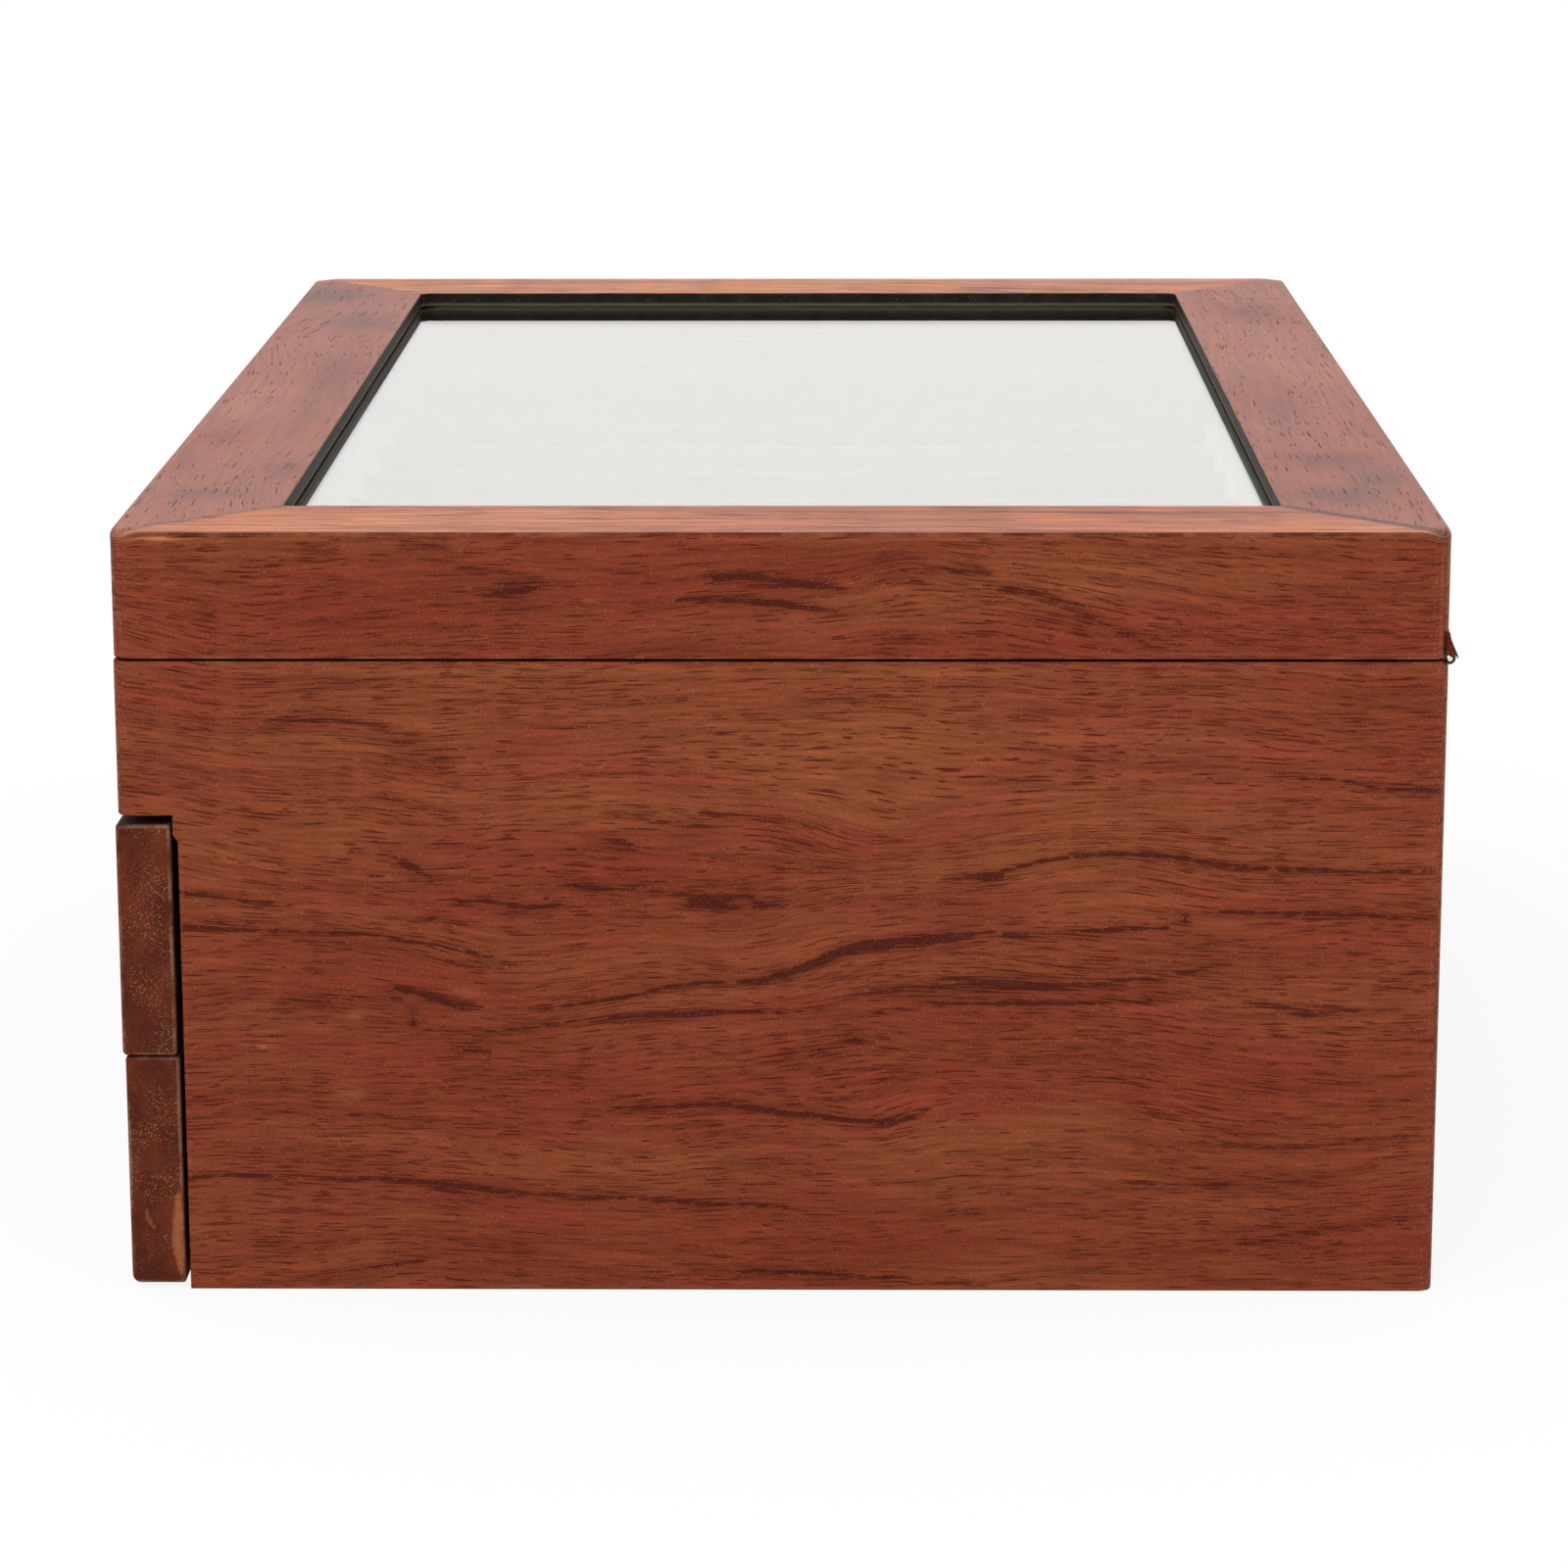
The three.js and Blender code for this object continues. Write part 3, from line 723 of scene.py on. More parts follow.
# Broad zones, golden where positive and deep red where negative: a sum of bells.
def zoneTone(along, across, zones):
    total = np.zeros(np.broadcast(along, across).shape)
    for a, b, amount, longWay, crossWay in zones:
        total += amount * np.exp(-((along - a) / longWay) ** 2 - ((across - b) / crossWay) ** 2)
    return total


# A line through given points, rounded by cutting each corner at a quarter three times over.
def roundedLine(points):
    line = np.array(points, float)
    for _ in range(3):
        first = 0.75 * line[:-1] + 0.25 * line[1:]
        second = 0.25 * line[:-1] + 0.75 * line[1:]
        cut = np.stack([first, second], axis=1).reshape(-1, 2)
        line = np.vstack([line[:1], cut, line[-1:]])
    return line


thinnestVein = 0.28


# Dark streaks: each is strongest on its line and falls off as a bell over its width, which narrows to 0.3 of
# it at both ends, with the root of a half sine between. Where streaks meet, the darker one shows.
def paintStreaks(along, across, streaks):
    dark = np.zeros(along.shape)
    spots = np.stack([along.ravel(), across.ravel()], axis=1)
    flat = dark.reshape(-1)
    for width, strength, *points in streaks:
        line = roundedLine(points)
        gaps = np.linalg.norm(np.diff(line, axis=0), axis=1)
        run = np.concatenate([[0], np.cumsum(gaps)])
        fine = np.linspace(0, run[-1], max(8, int(run[-1] / 0.8)))
        line = np.stack([np.interp(fine, run, line[:, k]) for k in (0, 1)], axis=1)
        swell = np.sqrt(np.abs(np.sin(np.pi * fine / run[-1])))
        taper = np.maximum(width * (0.3 + 0.7 * swell), thinnestVein)
        low, high = line.min(0) - 4 * width, line.max(0) + 4 * width
        near = np.flatnonzero(((spots > low) & (spots < high)).all(axis=1))
        if near.size == 0:
            continue
        away = ((spots[near, None, :] - line[None]) ** 2).sum(axis=2) / taper ** 2
        flat[near] = np.maximum(flat[near], strength * np.exp(-away.min(axis=1)))
    return dark


# Ranges that made-up figures are drawn from, in millimetres where they are lengths.
wildSettings = {
    "kinds": ("hump", "ramp") * 3,
    "lift": (-3.5, 3.5),
    "liftLong": (12, 34),
    "liftCross": (6, 18),
    "zones": 7,
    "tone": (-1, 1),
    "zoneLong": (20, 45),
    "zoneCross": (6, 16),
    "streakLength": (14, 90),
    "streakStep": 8.0,
    "drift": 0.35,
    "streakWidth": (0.35, 0.75),
}


# A made-up figure for a face that the photograph doesn't show, like the one it does.
def wildFigure(seed, low, high, streakCount, **others):
    draw = np.random.default_rng(seed)
    size = np.array(high, float) - low

    def pick(key):
        return draw.uniform(*wildSettings[key])
    lifts, zones, streaks = [], [], []
    for kind in wildSettings["kinds"]:
        a, b = low + size * draw.random(2)
        lifts.append((kind, a, b, pick("lift"), pick("liftLong"), pick("liftCross")))
    for _ in range(wildSettings["zones"]):
        a, b = low + size * draw.random(2)
        zones.append((a, b, pick("tone"), pick("zoneLong"), pick("zoneCross")))
    for _ in range(streakCount):
        a, b = low + size * draw.random(2)
        steps = np.arange(0, pick("streakLength") + wildSettings["streakStep"], wildSettings["streakStep"])
        drift = np.cumsum(draw.normal(0, wildSettings["drift"], steps.size))
        line = np.stack([a + steps, b + drift], axis=1)
        line[:, 1] += grainLift(line[:, 0], line[:, 1], lifts)
        width, strength = pick("streakWidth"), 0.25 + 0.7 * draw.random() ** 2
        streaks.append((width, strength, *map(tuple, line)))
    return {**plainFigure, "lifts": lifts, "zones": zones, "streaks": streaks, **others}


# How a figure marks a surface, given the places along and across it.
def figureMarks(figure, along, across):
    lift = grainLift(along, across, figure["lifts"])
    grain = np.stack([along * figure["draw"], across - lift], axis=-1) + figure["grainShift"]
    return {"grain": grain, "streak": paintStreaks(along, across, figure["streaks"]),
            "tone": zoneTone(along, across, figure["zones"])}


# The right-hand end, as photographed. Places are millimetres behind the front plane and above the table.
# A lift is its kind, place, height and reach along and across the grain. A zone is its place, tone and
# reach both ways. A streak is its width, its strength and the points that its line goes by.
rightEnd = {
    **plainFigure,
    "alongShift": shell["halfDepth"],
    "lifts": [
        ("hump", 154, 69, 2.7, 15, 9), ("ramp", 110, 53, 3.0, 17, 20), ("ramp", 190, 18, 1.6, 10, 12),
        ("ramp", 62, 15, -2.1, 24, 13), ("ramp", 36, 3, 1.3, 10, 5), ("ramp", 44, 57, -1.0, 18, 14),
        ("hump", 31, 90, 1.1, 10, 8), ("ramp", 142, 80, -3.2, 21, 12), ("ramp", 182, 88, -1.6, 22, 10),
        ("hump", 115, 28, -1.7, 8, 5), ("ramp", 118, 79, -1.8, 10, 7), ("ramp", 146, 109, -2.8, 15, 9),
        ("hump", 121, 115, 2.4, 8, 4), ("ramp", 15, 31, 1.0, 6, 5), ("ramp", 172, 111, -2.6, 22, 10),
        ("ramp", 164, 33, -3.0, 21, 12), ("ramp", 84, 78, -6.7, 22, 9), ("ramp", 25, 16, -1.3, 18, 7),
        ("ramp", 6, 92, -2.1, 16, 12), ("ramp", 18, 82, -5.0, 16, 8), ("ramp", 45, 80, -3.3, 10, 6),
        ("ramp", 8, 106, -2.9, 14, 7), ("ramp", 16, 68, -2.7, 16, 7), ("ramp", 50, 55, -1.4, 9, 4.5),
        ("ramp", 20, 44, 1.9, 16, 6), ("ramp", 70, 46, 2.8, 14, 8), ("ramp", 105, 52, 1.2, 7, 6),
        ("ramp", 108, 74, -3.1, 8, 5), ("ramp", 135, 69, 0.9, 9, 5), ("ramp", 120, 41, -2.0, 9, 5),
    ],
    "zones": [
        (142, 82, 1.0, 34, 11), (112, 86, 0.65, 22, 12), (70, 84, 0.6, 26, 9), (150, 112, 0.6, 22, 6),
        (20, 80, 0.5, 20, 10), (60, 32, -0.7, 40, 8), (150, 38, -0.6, 40, 8), (95, 101, -0.6, 40, 2.5),
        (30, 50, -0.5, 24, 10), (125, 22, 0.5, 30, 7), (190, 92, -0.5, 14, 8), (40, 108, -0.2, 40, 7),
        (95, 66, -0.5, 18, 4), (100, 8, -0.5, 60, 5), (170, 75, 0.7, 22, 5), (120, 108, 0.5, 20, 4),
        (100, 98.6, 1.5, 120, 0.8), (100, 110, -0.45, 200, 12), (21.5, 39.4, 2.0, 2.2, 1.1),
        (34.7, 31.5, 1.9, 2.4, 1.0), (52.8, 48.4, 1.7, 2.2, 0.8), (36, 44.6, 1.7, 1.2, 0.7),
        (8, 119.1, 2.6, 11, 0.45),
    ],
    "streaks": [
        (0.45, 1.2, (2.5, 119.7), (5, 119.9), (7.5, 120)),
        (0.45, 1.2, (10, 119.8), (12, 119.9), (14.5, 119.8)),
        (0.4, 1.0, (17, 119.9), (21, 119.9)),
        (0.9, 0.5, (44, 118.4), (47, 118.7), (51, 118.7)),
        (0.7, 0.4, (30, 118), (34, 117.4)),
        (0.35, 0.5, (50, 115.3), (52, 116), (54, 116.7)),
        (0.5, 0.6, (53, 114.6), (56, 114.4), (60, 114)),
        (1.3, 0.6, (57, 111.3), (59.5, 112.3), (61.5, 111.3), (64.5, 111.6)),
        (0.35, 0.45, (61, 113), (66, 112.3), (70, 112)),
        (0.8, 0.85, (90.5, 112.8), (95, 113.3), (100, 113), (105, 112.2), (111, 111.4)),
        (0.7, 0.75, (86.5, 109.8), (93, 109.7), (100, 109.2), (104, 108.8), (110, 107.7)),
        (0.4, 0.55, (113, 113), (121, 114.7), (133, 113.8)),
        (0.6, 0.7, (133, 112), (140, 111), (146, 108), (152, 105.5), (157, 103)),
        (0.3, 0.6, (30, 97), (33, 97), (37, 96.8)),
        (1.1, 0.42, (22.5, 89.8), (27, 91), (32, 91.6), (36, 91.1), (41, 89.8)),
        (1.2, 0.36, (41.5, 89), (43.5, 87.4), (47, 85.6), (52, 84)),
        (0.3, 0.6, (38, 84.8), (44, 84), (49.5, 82.5)),
        (0.3, 0.6, (40, 79.2), (46, 77.9), (50, 77)),
        (0.3, 0.6, (75, 76.4), (82, 75.4), (90.5, 74.2)),
        (0.9, 0.5, (72, 72.2), (75.5, 72), (79, 71.8)),
        (0.5, 0.45, (90, 76.5), (100, 75.3), (107, 74.2)),
        (0.6, 0.5, (100, 73.5), (104, 72), (109, 71)),
        (0.4, 0.5, (36, 70.4), (41, 70.2), (43.5, 69.6)),
        (1.1, 0.62, (42.5, 69.4), (45.5, 67.8), (46.5, 66.8), (49, 66)),
        (0.5, 0.85, (9.5, 64), (14, 63.6), (18, 62.9), (22, 62.2), (27, 62)),
        (0.7, 0.72, (51, 62.4), (56, 62.9), (62, 61.6), (65, 61.7), (68.5, 62.3)),
        (0.6, 0.5, (58.5, 61), (64, 61.3)),
        (0.7, 0.5, (65, 63.8), (66, 62.6), (67, 61.6)),
        (0.5, 0.75, (44.5, 59.2), (47, 59.7), (49, 60), (52.5, 59)),
        (0.5, 0.55, (13.5, 59.2), (20, 59.1), (24, 59)),
        (0.6, 0.65, (10, 58.4), (17, 58.2), (24, 57.9), (30, 57.4), (38, 57.3), (42, 56.8), (46, 56),
         (52, 55), (56, 53.9), (60, 52.8)),
        (0.35, 0.5, (27, 56.3), (35, 55.5), (40, 55.3), (46, 54.4), (50, 53), (56, 51.6)),
        (0.8, 0.75, (69, 65.3), (72, 64.6), (75, 64.5), (79, 64.6)),
        (0.6, 0.5, (68, 65.9), (74, 65.6), (80, 65.4)),
        (0.5, 0.9, (78, 64.7), (82, 64.4), (86, 64), (90, 63.5)),
        (1.1, 0.68, (87, 62.9), (90, 62.4), (94, 62.8), (96, 63.9), (98, 62.2), (101.5, 61.8)),
        (0.5, 0.6, (86, 61.9), (92, 61.5), (98, 61.5), (102, 61.8)),
        (0.5, 0.42, (10, 48.6), (16, 48), (23, 47.9)),
        (1.1, 0.42, (24.5, 46.6), (28, 46.9), (31, 46.8), (33, 47.1)),
        (0.4, 0.42, (34, 47), (40, 47.6), (43.5, 46.6), (45.5, 45.2)),
        (0.7, 0.8, (41, 49), (45, 48), (48, 47.3), (51, 46.2), (55, 45.8)),
        (0.45, 0.7, (45.2, 45.6), (45, 44), (44.6, 42.5)),
        (0.45, 0.75, (45.5, 42.1), (50, 42), (56, 41.6), (60, 42.2), (66, 43), (72, 43.8), (80, 44.4),
         (86, 44.6), (94, 45.3), (100, 45), (106, 45.3), (110, 45.8)),
        (0.7, 0.6, (51.5, 39), (55.5, 38.8)),
        (0.5, 0.8, (64, 45.5), (70, 46.2), (75, 47), (80, 48), (84, 49), (90, 49.8), (98, 49.9)),
        (0.75, 1.0, (94, 49.8), (98.5, 50), (101, 50.8), (105, 52), (110, 54.3), (114, 55.7), (118, 56.2),
         (124, 56.8), (130, 57.5), (135.5, 58.1)),
        (0.7, 0.9, (135.5, 57.6), (138, 57.2), (141, 57.3)),
        (0.5, 0.9, (140, 57.3), (149, 58), (156, 58.5), (162, 58.5)),
        (1.0, 0.6, (127.5, 66.2), (130.5, 66.4), (134, 66.4), (136, 67.2)),
        (0.5, 0.85, (128, 66.8), (134, 67.2), (138, 68.2), (142, 69.2), (152, 70.4), (161, 70),
         (168.5, 68.5), (175, 67.8), (183, 67.8), (190.5, 67.3), (202.5, 67.6)),
        (0.5, 0.7, (177, 82), (186, 82), (191, 80.6), (198, 80), (203, 80)),
        (0.5, 0.8, (162, 60.5), (166, 61), (175, 61), (186, 60.8), (193, 60.5), (203, 59.6)),
        (0.7, 0.7, (163.5, 60.6), (163, 58.6)),
        (1.1, 0.58, (111.5, 47.2), (114, 48.2), (120, 48.7), (128, 49.5), (141, 49.2), (155, 50), (162, 51),
         (170, 53)),
        (0.5, 0.7, (112.5, 44), (116.5, 45), (121, 46.1), (128, 46.4), (138, 46.4), (150, 46.6), (158.5, 47),
         (165.5, 47.6)),
        (0.5, 0.6, (174, 47), (179, 46), (185, 45), (193.5, 45.4)),
        (0.4, 0.64, (193, 48.8), (203, 49.3)),
        (0.9, 0.75, (112, 40.7), (114.5, 40.4)),
        (0.5, 0.5, (103, 38.6), (108, 39.2), (112, 39.7)),
        (0.35, 0.42, (9.5, 30.5), (17, 32.3), (30, 33.2)),
        (0.45, 0.47, (17, 29), (34.5, 28.6), (45.5, 27.2), (65, 26.6)),
        (0.7, 0.77, (75, 29.8), (83, 29.8), (92.5, 30.3), (100.5, 29), (107.5, 28.4), (111.5, 27.8),
         (117, 27.3), (121, 28), (124, 29.4)),
        (0.35, 0.34, (150, 29.6), (166, 28.4)),
        (0.4, 0.42, (177, 32.6), (183, 33), (191.5, 33.8), (199, 35.2)),
        (0.4, 0.42, (190, 30), (197, 31.2), (203, 31.6)),
        (0.45, 0.42, (157, 23.4), (179, 23.5), (192, 24.4), (200, 25.7)),
        (0.5, 0.51, (151, 17.2), (160, 17.4), (179, 17.4), (187, 19), (193.5, 20.3)),
        (0.6, 0.7, (9.5, 18), (18.5, 18.8), (27.5, 18.3), (34, 18), (41, 18.3), (47.5, 17.4), (54.5, 16.7),
         (61, 15.8), (77.5, 14.9), (92.5, 13.9), (101.5, 13.8), (106, 13)),
        (0.45, 0.51, (124, 12.7), (131.5, 13), (139.5, 13.4)),
        (0.35, 0.42, (57, 7), (63, 6.7)),
        (0.45, 0.51, (22.5, 1.2), (38.5, 3.7), (46.5, 5.2)),
        (0.65, 0.64, (88, 3.2), (97, 3.2), (106, 2.9), (115, 2.1), (126, 1.8), (133, 0.7)),
        (0.5, 0.51, (168.5, 8.6), (175, 8), (183.5, 9.6), (194, 11.4), (198.5, 12)),
    ],
}


# The name of the piece that stands in for a node.
def camel(nodeName):
    first, *others = nodeName.split("_")
    return first + "".join(word.capitalize() for word in others)


# Surfaces as grids

# A patch is a grid of points with its finish and what that needs: the grain map, and how worn, how streaked
# and how golden each point is. Cells where keep is false are left out.
def patch(points, finish, grain=None, wear=None, streak=None, tone=None, keep=None):
    rows, columns = points.shape[:2]
    index = np.arange(rows * columns).reshape(rows, columns)
    quads = np.stack([index[:-1, :-1], index[1:, :-1], index[1:, 1:], index[:-1, 1:]], axis=-1)
    quads = quads[keep] if keep is not None else quads.reshape(-1, 4)
    blank = np.zeros((rows, columns))
    marks = {"wear": wear, "streak": streak, "tone": tone}
    return {
        "points": points.reshape(-1, 3),
        "faces": quads,
        "grain": (np.zeros((rows, columns, 2)) if grain is None else grain).reshape(-1, 2),
        "finish": finish,
        **{name: (blank if mark is None else mark).ravel() for name, mark in marks.items()},
    }


mergeReach = 0.002  # millimetres within which points count as one


# Puts patches and flat caps together as one closed mesh: points that meet are merged, and faces point out.
# Edges sharper than smooth, in degrees, stay sharp.
def patchPiece(name, body, patches, caps=(), smooth=35, replaces=()):
    names = list(dict.fromkeys([p["finish"] for p in patches] + [finish for _, finish in caps]))
    counts = np.cumsum([0] + [len(p["points"]) for p in patches])
    points = np.vstack([p["points"] for p in patches] + [cap for cap, _ in caps])
    faces = np.vstack([p["faces"] + start for p, start in zip(patches, counts)]).tolist()
    finishOf = np.concatenate([np.full(len(p["faces"]), names.index(p["finish"])) for p in patches])
    grain = np.vstack([p["grain"][p["faces"].ravel()] for p in patches])
    start = counts[-1]
    for cap, finish in caps:
        faces.append(list(range(start, start + len(cap))))
        finishOf = np.append(finishOf, names.index(finish))
        grain = np.vstack([grain, cap[:, :2] + cap[:, 2:]])
        start += len(cap)
    mesh = bpy.data.meshes.new(name)
    mesh.from_pydata((points * mm).tolist(), [], faces)
    for finish in names:
        mesh.materials.append(finishes[finish])
    mesh.polygons.foreach_set("material_index", finishOf.astype(np.int32))
    mesh.uv_layers.new(name="grain").uv.foreach_set("vector", (grain * mm).astype(np.float32).ravel())
    capped = len(points) - counts[-1]
    for mark in ("wear", "streak", "tone"):
        values = np.concatenate([p[mark] for p in patches] + [np.zeros(capped)])
        mesh.attributes.new(mark, "FLOAT", "POINT").data.foreach_set("value", values.astype(np.float32))
    work = bmesh.new()
    work.from_mesh(mesh)
    bmesh.ops.remove_doubles(work, verts=work.verts, dist=mergeReach * mm)
    bmesh.ops.recalc_face_normals(work, faces=work.faces)
    work.to_mesh(mesh)
    work.free()
    finishPiece(name, body, mesh, smooth, replaces)


def finishPiece(name, body, mesh, smooth, replaces):
    mesh.polygons.foreach_set("use_smooth", np.ones(len(mesh.polygons), bool))
    mesh.set_sharp_from_angle(angle=math.radians(smooth))
    piece = bpy.data.objects.new(name, mesh)
    bpy.context.scene.collection.objects.link(piece)
    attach(piece, body)
    if replaces:
        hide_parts(*replaces)


# Places between 0 and length, close together near both ends, where an edge is eased and worn.
def spread(length, step):
    near = np.array([0.25, 0.6, 1.1])
    near = near[near < length / 3]
    start = near[-1] if near.size else 0.0
    count = max(1, int(round((length - 2 * start) / step)))
    middle = np.linspace(start, length - start, count + 1)[1:-1]
    return np.concatenate([near, middle, length - near[::-1]])


wearFade = 0.5  # millimetres over which wear fades from an edge


# The runs of a section, given its corners going up the outer face, in over the top and back. Each run goes
# from the middle of one eased corner to the middle of the next. An eased corner is a quadratic curve that
# leaves one side a radius before the corner and meets the other a radius after it.
def runsOf(corners, radii, steps):
    corners = np.array(corners, float)
    ahead = np.roll(corners, -1, axis=0) - corners
    length = np.linalg.norm(ahead, axis=1)
    unit = ahead / length[:, None]
    share = np.linspace(0, 1, 5)[:, None]
    curves = []
    for k, radius in enumerate(radii):
        start, end = corners[k] - unit[k - 1] * radius, corners[k] + unit[k] * radius
        curves.append((1 - share) ** 2 * start + 2 * share * (1 - share) * corners[k] + share ** 2 * end)
    runs = []
    for k, step in enumerate(steps):
        after = (k + 1) % len(corners)
        free = length[k] - radii[k] - radii[after]
        at = spread(free, step)
        straight = curves[k][-1] + unit[k] * at[:, None]
        points = np.vstack([curves[k][2:], straight, curves[after][:3]])
        fade = np.exp(-np.minimum(at, free - at) / wearFade)
        runs.append((points, np.concatenate([np.ones(3), fade, np.ones(3)])))
    return runs


# Sets a bar that is drawn along its own length on one side of the box: along, in from the face and up
# become x, y and z.
def placed(side, along, inward, up):
    half, front, back, middle = (shell[key] for key in ("halfLength", "front", "back", "middle"))
    along, inward, up = np.broadcast_arrays(along, inward, up)
    spots = {
        "front": (along, front + inward),
        "back": (-along, back - inward),
        "right": (half - inward, middle + along),
        "left": (-half + inward, middle - along),
    }
    return np.stack([*spots[side], up], axis=-1)


# How boards meet at the corners. The mitres' stains are shares of the streak colour at a rail's start and
# end, and on an end rail's seams. cornerSink says how deep the lid's corners sink at the right and the left.
joinery = {
    "cornerRadius": 2.2,
    "mitreSeam": 0.05,
    "mitreStain": {"front": (0.0, 0.1), "right": (0.1, 1.0), "back": (1.0, 0.0), "left": (0.0, 0.0)},
    "mitreFade": (1.0, 1.0, 0.75),
    "seamStain": (0.9, 0.4),
    "coveRadius": 1.1,
    "cornerSink": (0.85, 0.25),
    "cornerReach": 1.8,
    "cornerDepth": 3.2,
}


# Wood near the hinge barrel is cut back to a round cove: points inside it move out to its surface.
def coved(points):
    axis, radius = np.array([hinge["y"], hinge["z"]]), joinery["coveRadius"]
    away = points[..., 1:] - axis
    reach = np.linalg.norm(away, axis=-1, keepdims=True)
    out = np.where(reach < radius, away * radius / np.maximum(reach, tiny), away)
    moved = points.copy()
    moved[..., 1:] = out + axis
    return moved


# How far a surface falls away near a rounded edge: radius - sqrt(radius^2 - (radius - distance)^2).
def easing(distance, radius):
    left = np.clip(radius - distance, 0, radius)
    return radius - np.sqrt(radius ** 2 - left ** 2)


# Places in from a rounded corner that a mitre cuts at its middle, on the curve and then where wear fades.
def cornerStations(radius):
    curve = radius * np.array([1 - math.sqrt(0.5), 0.45, 0.7, 1.0])
    return np.concatenate([curve, radius + np.array([0.3, 0.8, 1.6])])


# A bar with both ends mitred and its upright corners rounded. A point of the section lies as far in from
# the end as from the outer face. Near the ends the face curves in as an eased edge does, and the mitre cuts
# that curve at its middle. The opening's corners curve alike.
def mitredPatches(side, runs, step, figures, finishOfRun, radius, opening=None):
    half = halfOf(side)
    near = cornerStations(radius)
    cutAt = near[0]
    middle = np.linspace(near[-1], 2 * half - near[-1], int(2 * half / step) + 1)[1:-1]
    fromEnd = np.concatenate([near, middle, 2 * half - near[::-1]])
    share = (half - fromEnd)[::-1] / (half - cutAt)
    distance = np.maximum(half - np.abs(share) * (half - cutAt), cutAt)[:, None]
    curve = easing(distance, radius)
    patches, ends = [], ([], [])
    for k, (section, wearAlong) in enumerate(runs):
        inward, up = section[:, 0][None], section[:, 1][None]
        shallow = np.clip(1 - inward / radius, 0, 1) * (inward >= -tiny)
        depth = inward + shallow * curve
        if opening is not None:
            edge, (startRadius, endRadius) = opening
            fillet = np.where(share < 0, startRadius, endRadius)[:, None]
            fromCorner = ((half - edge) * (1 - np.abs(share)))[:, None]
            left = np.maximum(fillet * math.sqrt(0.5) - fromCorner, 0)
            bend = fillet - np.sqrt(fillet ** 2 - left ** 2)
            depth = depth + bend * np.clip(1 - (edge - inward) / fillet, 0, 1)
        along = share[:, None] * (half - joinery["mitreSeam"] - np.maximum(depth, cutAt))
        points = placed(side, along, depth, up)
        if opening is not None:
            # Worn corners: the top sinks in a bell round each outer corner, and what lies below sinks less.
            away = np.hypot(half - np.abs(along), depth) - cutAt * math.sqrt(2)
            bell = np.exp(-(away / joinery["cornerReach"]) ** 2)
            sink = np.where(points[..., 0] > 0, *joinery["cornerSink"]) * bell
            points[..., 2] -= sink * np.clip(1 - (shell["lidTop"] - up) / joinery["cornerDepth"], 0, 1)
        points = coved(points)
        travel = np.concatenate([[0], np.cumsum(np.linalg.norm(np.diff(section, axis=0), axis=1))])
        across = np.broadcast_to(travel[None] + section[0, 1], along.shape)
        wear = np.maximum(wearAlong[None], np.exp(-(distance - cutAt) / wearFade) * (shallow > 0))
        figure = figures[k]
        marks = {}
        if figure is not None:
            marks = figureMarks(figure, along + figure["alongShift"], across)
            streak = marks["streak"]
            seam = np.array(joinery["seamStain"]) * (side not in longSides)
            if figure["flat"]:
                streak[:, :len(seam)] = np.maximum(streak[:, :len(seam)], seam)
                start, end = joinery["mitreStain"][side]
                fade = np.array(joinery["mitreFade"])[:, None]
                streak[:len(fade)] = np.maximum(streak[:len(fade)], start * fade)
                streak[-len(fade):] = np.maximum(streak[-len(fade):], end * fade[::-1])
            elif opening is not None:
                streak[:, -len(seam):] = np.maximum(streak[:, -len(seam):], seam[::-1])
        patches.append(patch(points, finishOfRun[k], wear=wear, **marks))
        for end, row in ((0, points[0]), (1, points[-1])):
            ends[end].append(row[:-1])
    caps = [(np.vstack(rows), finishOfRun[-1]) for rows in ends]
    return patches, caps


# Lid rails: a wall with a wide top that has a rebate under its inner lip for the glass. The back one's
# lower edge flares into the stop lip. Clouds are grey places on the rails' tops: place along the rail and
# in from its outer edge, tone, reach both ways. Cracks lie at the rails' edges: width and strength, then
# places along the rail and in from its outer edge.
lidSettings = {
    "lip": 2.6,
    "rebate": 5.0,
    "flangeUnder": spanOf("glass_bead_front")[0][2],
    "stopProud": spanOf("lid_rail_back")[1][1] - shell["back"],
    "stopHeight": 3.4,
    "stopLand": 0.3,
    "stopFine": 0.3,
    "stopRadii": [0.1, 0.1, 1.0, 0.55],
    "outerRadii": [0.3, 0.55],
    "innerRadii": [0.3, 0.15, 0.15, 0.15, 0.3, 0.3],
    "cornerRadius": 3.0,
    "openingRadii": {"front": (2.8, 0.7), "right": (0.7, 0.7), "back": (0.7, 2.8), "left": (2.8, 2.8)},
    "fine": 0.34,
    "innerSteps": [0.7, 3.0, 3.0, 2.0, 3.0, 2.0],
    "along": 1.1,
    "outerSeed": 40,
    "outerStreaks": 12,
    "flatSeed": 60,
    "flatStreaks": {"front": 0, "right": 9, "back": 0, "left": 9},
    "flatShift": 37.0,
    "flatDraw": 0.5,
    "clouds": {
        "front": [(118, 10, -1.6, 9, 12), (92, 20, -1.2, 16, 5), (-10, 18, -1.2, 45, 6),
                  (-84, 15, -1.5, 18, 9), (60, 6, -1.3, 12, 4), (-125, 8, -1.2, 12, 9)],
        "back": [(98, 12, -1.4, 16, 9), (-119, 14, -1.5, 9, 8), (-84, 12, -1.3, 9, 12),
                 (-103, 5, -1.2, 9, 6), (-30, 16, -1.0, 30, 5), (128, 18, -1.3, 10, 5)],
    },
    "cracks": {"right": [((0.4, 1.0), (-99.5, 0.9), (-96, 0.6), (-91, 0.9), (-86, 0.4))]},
}


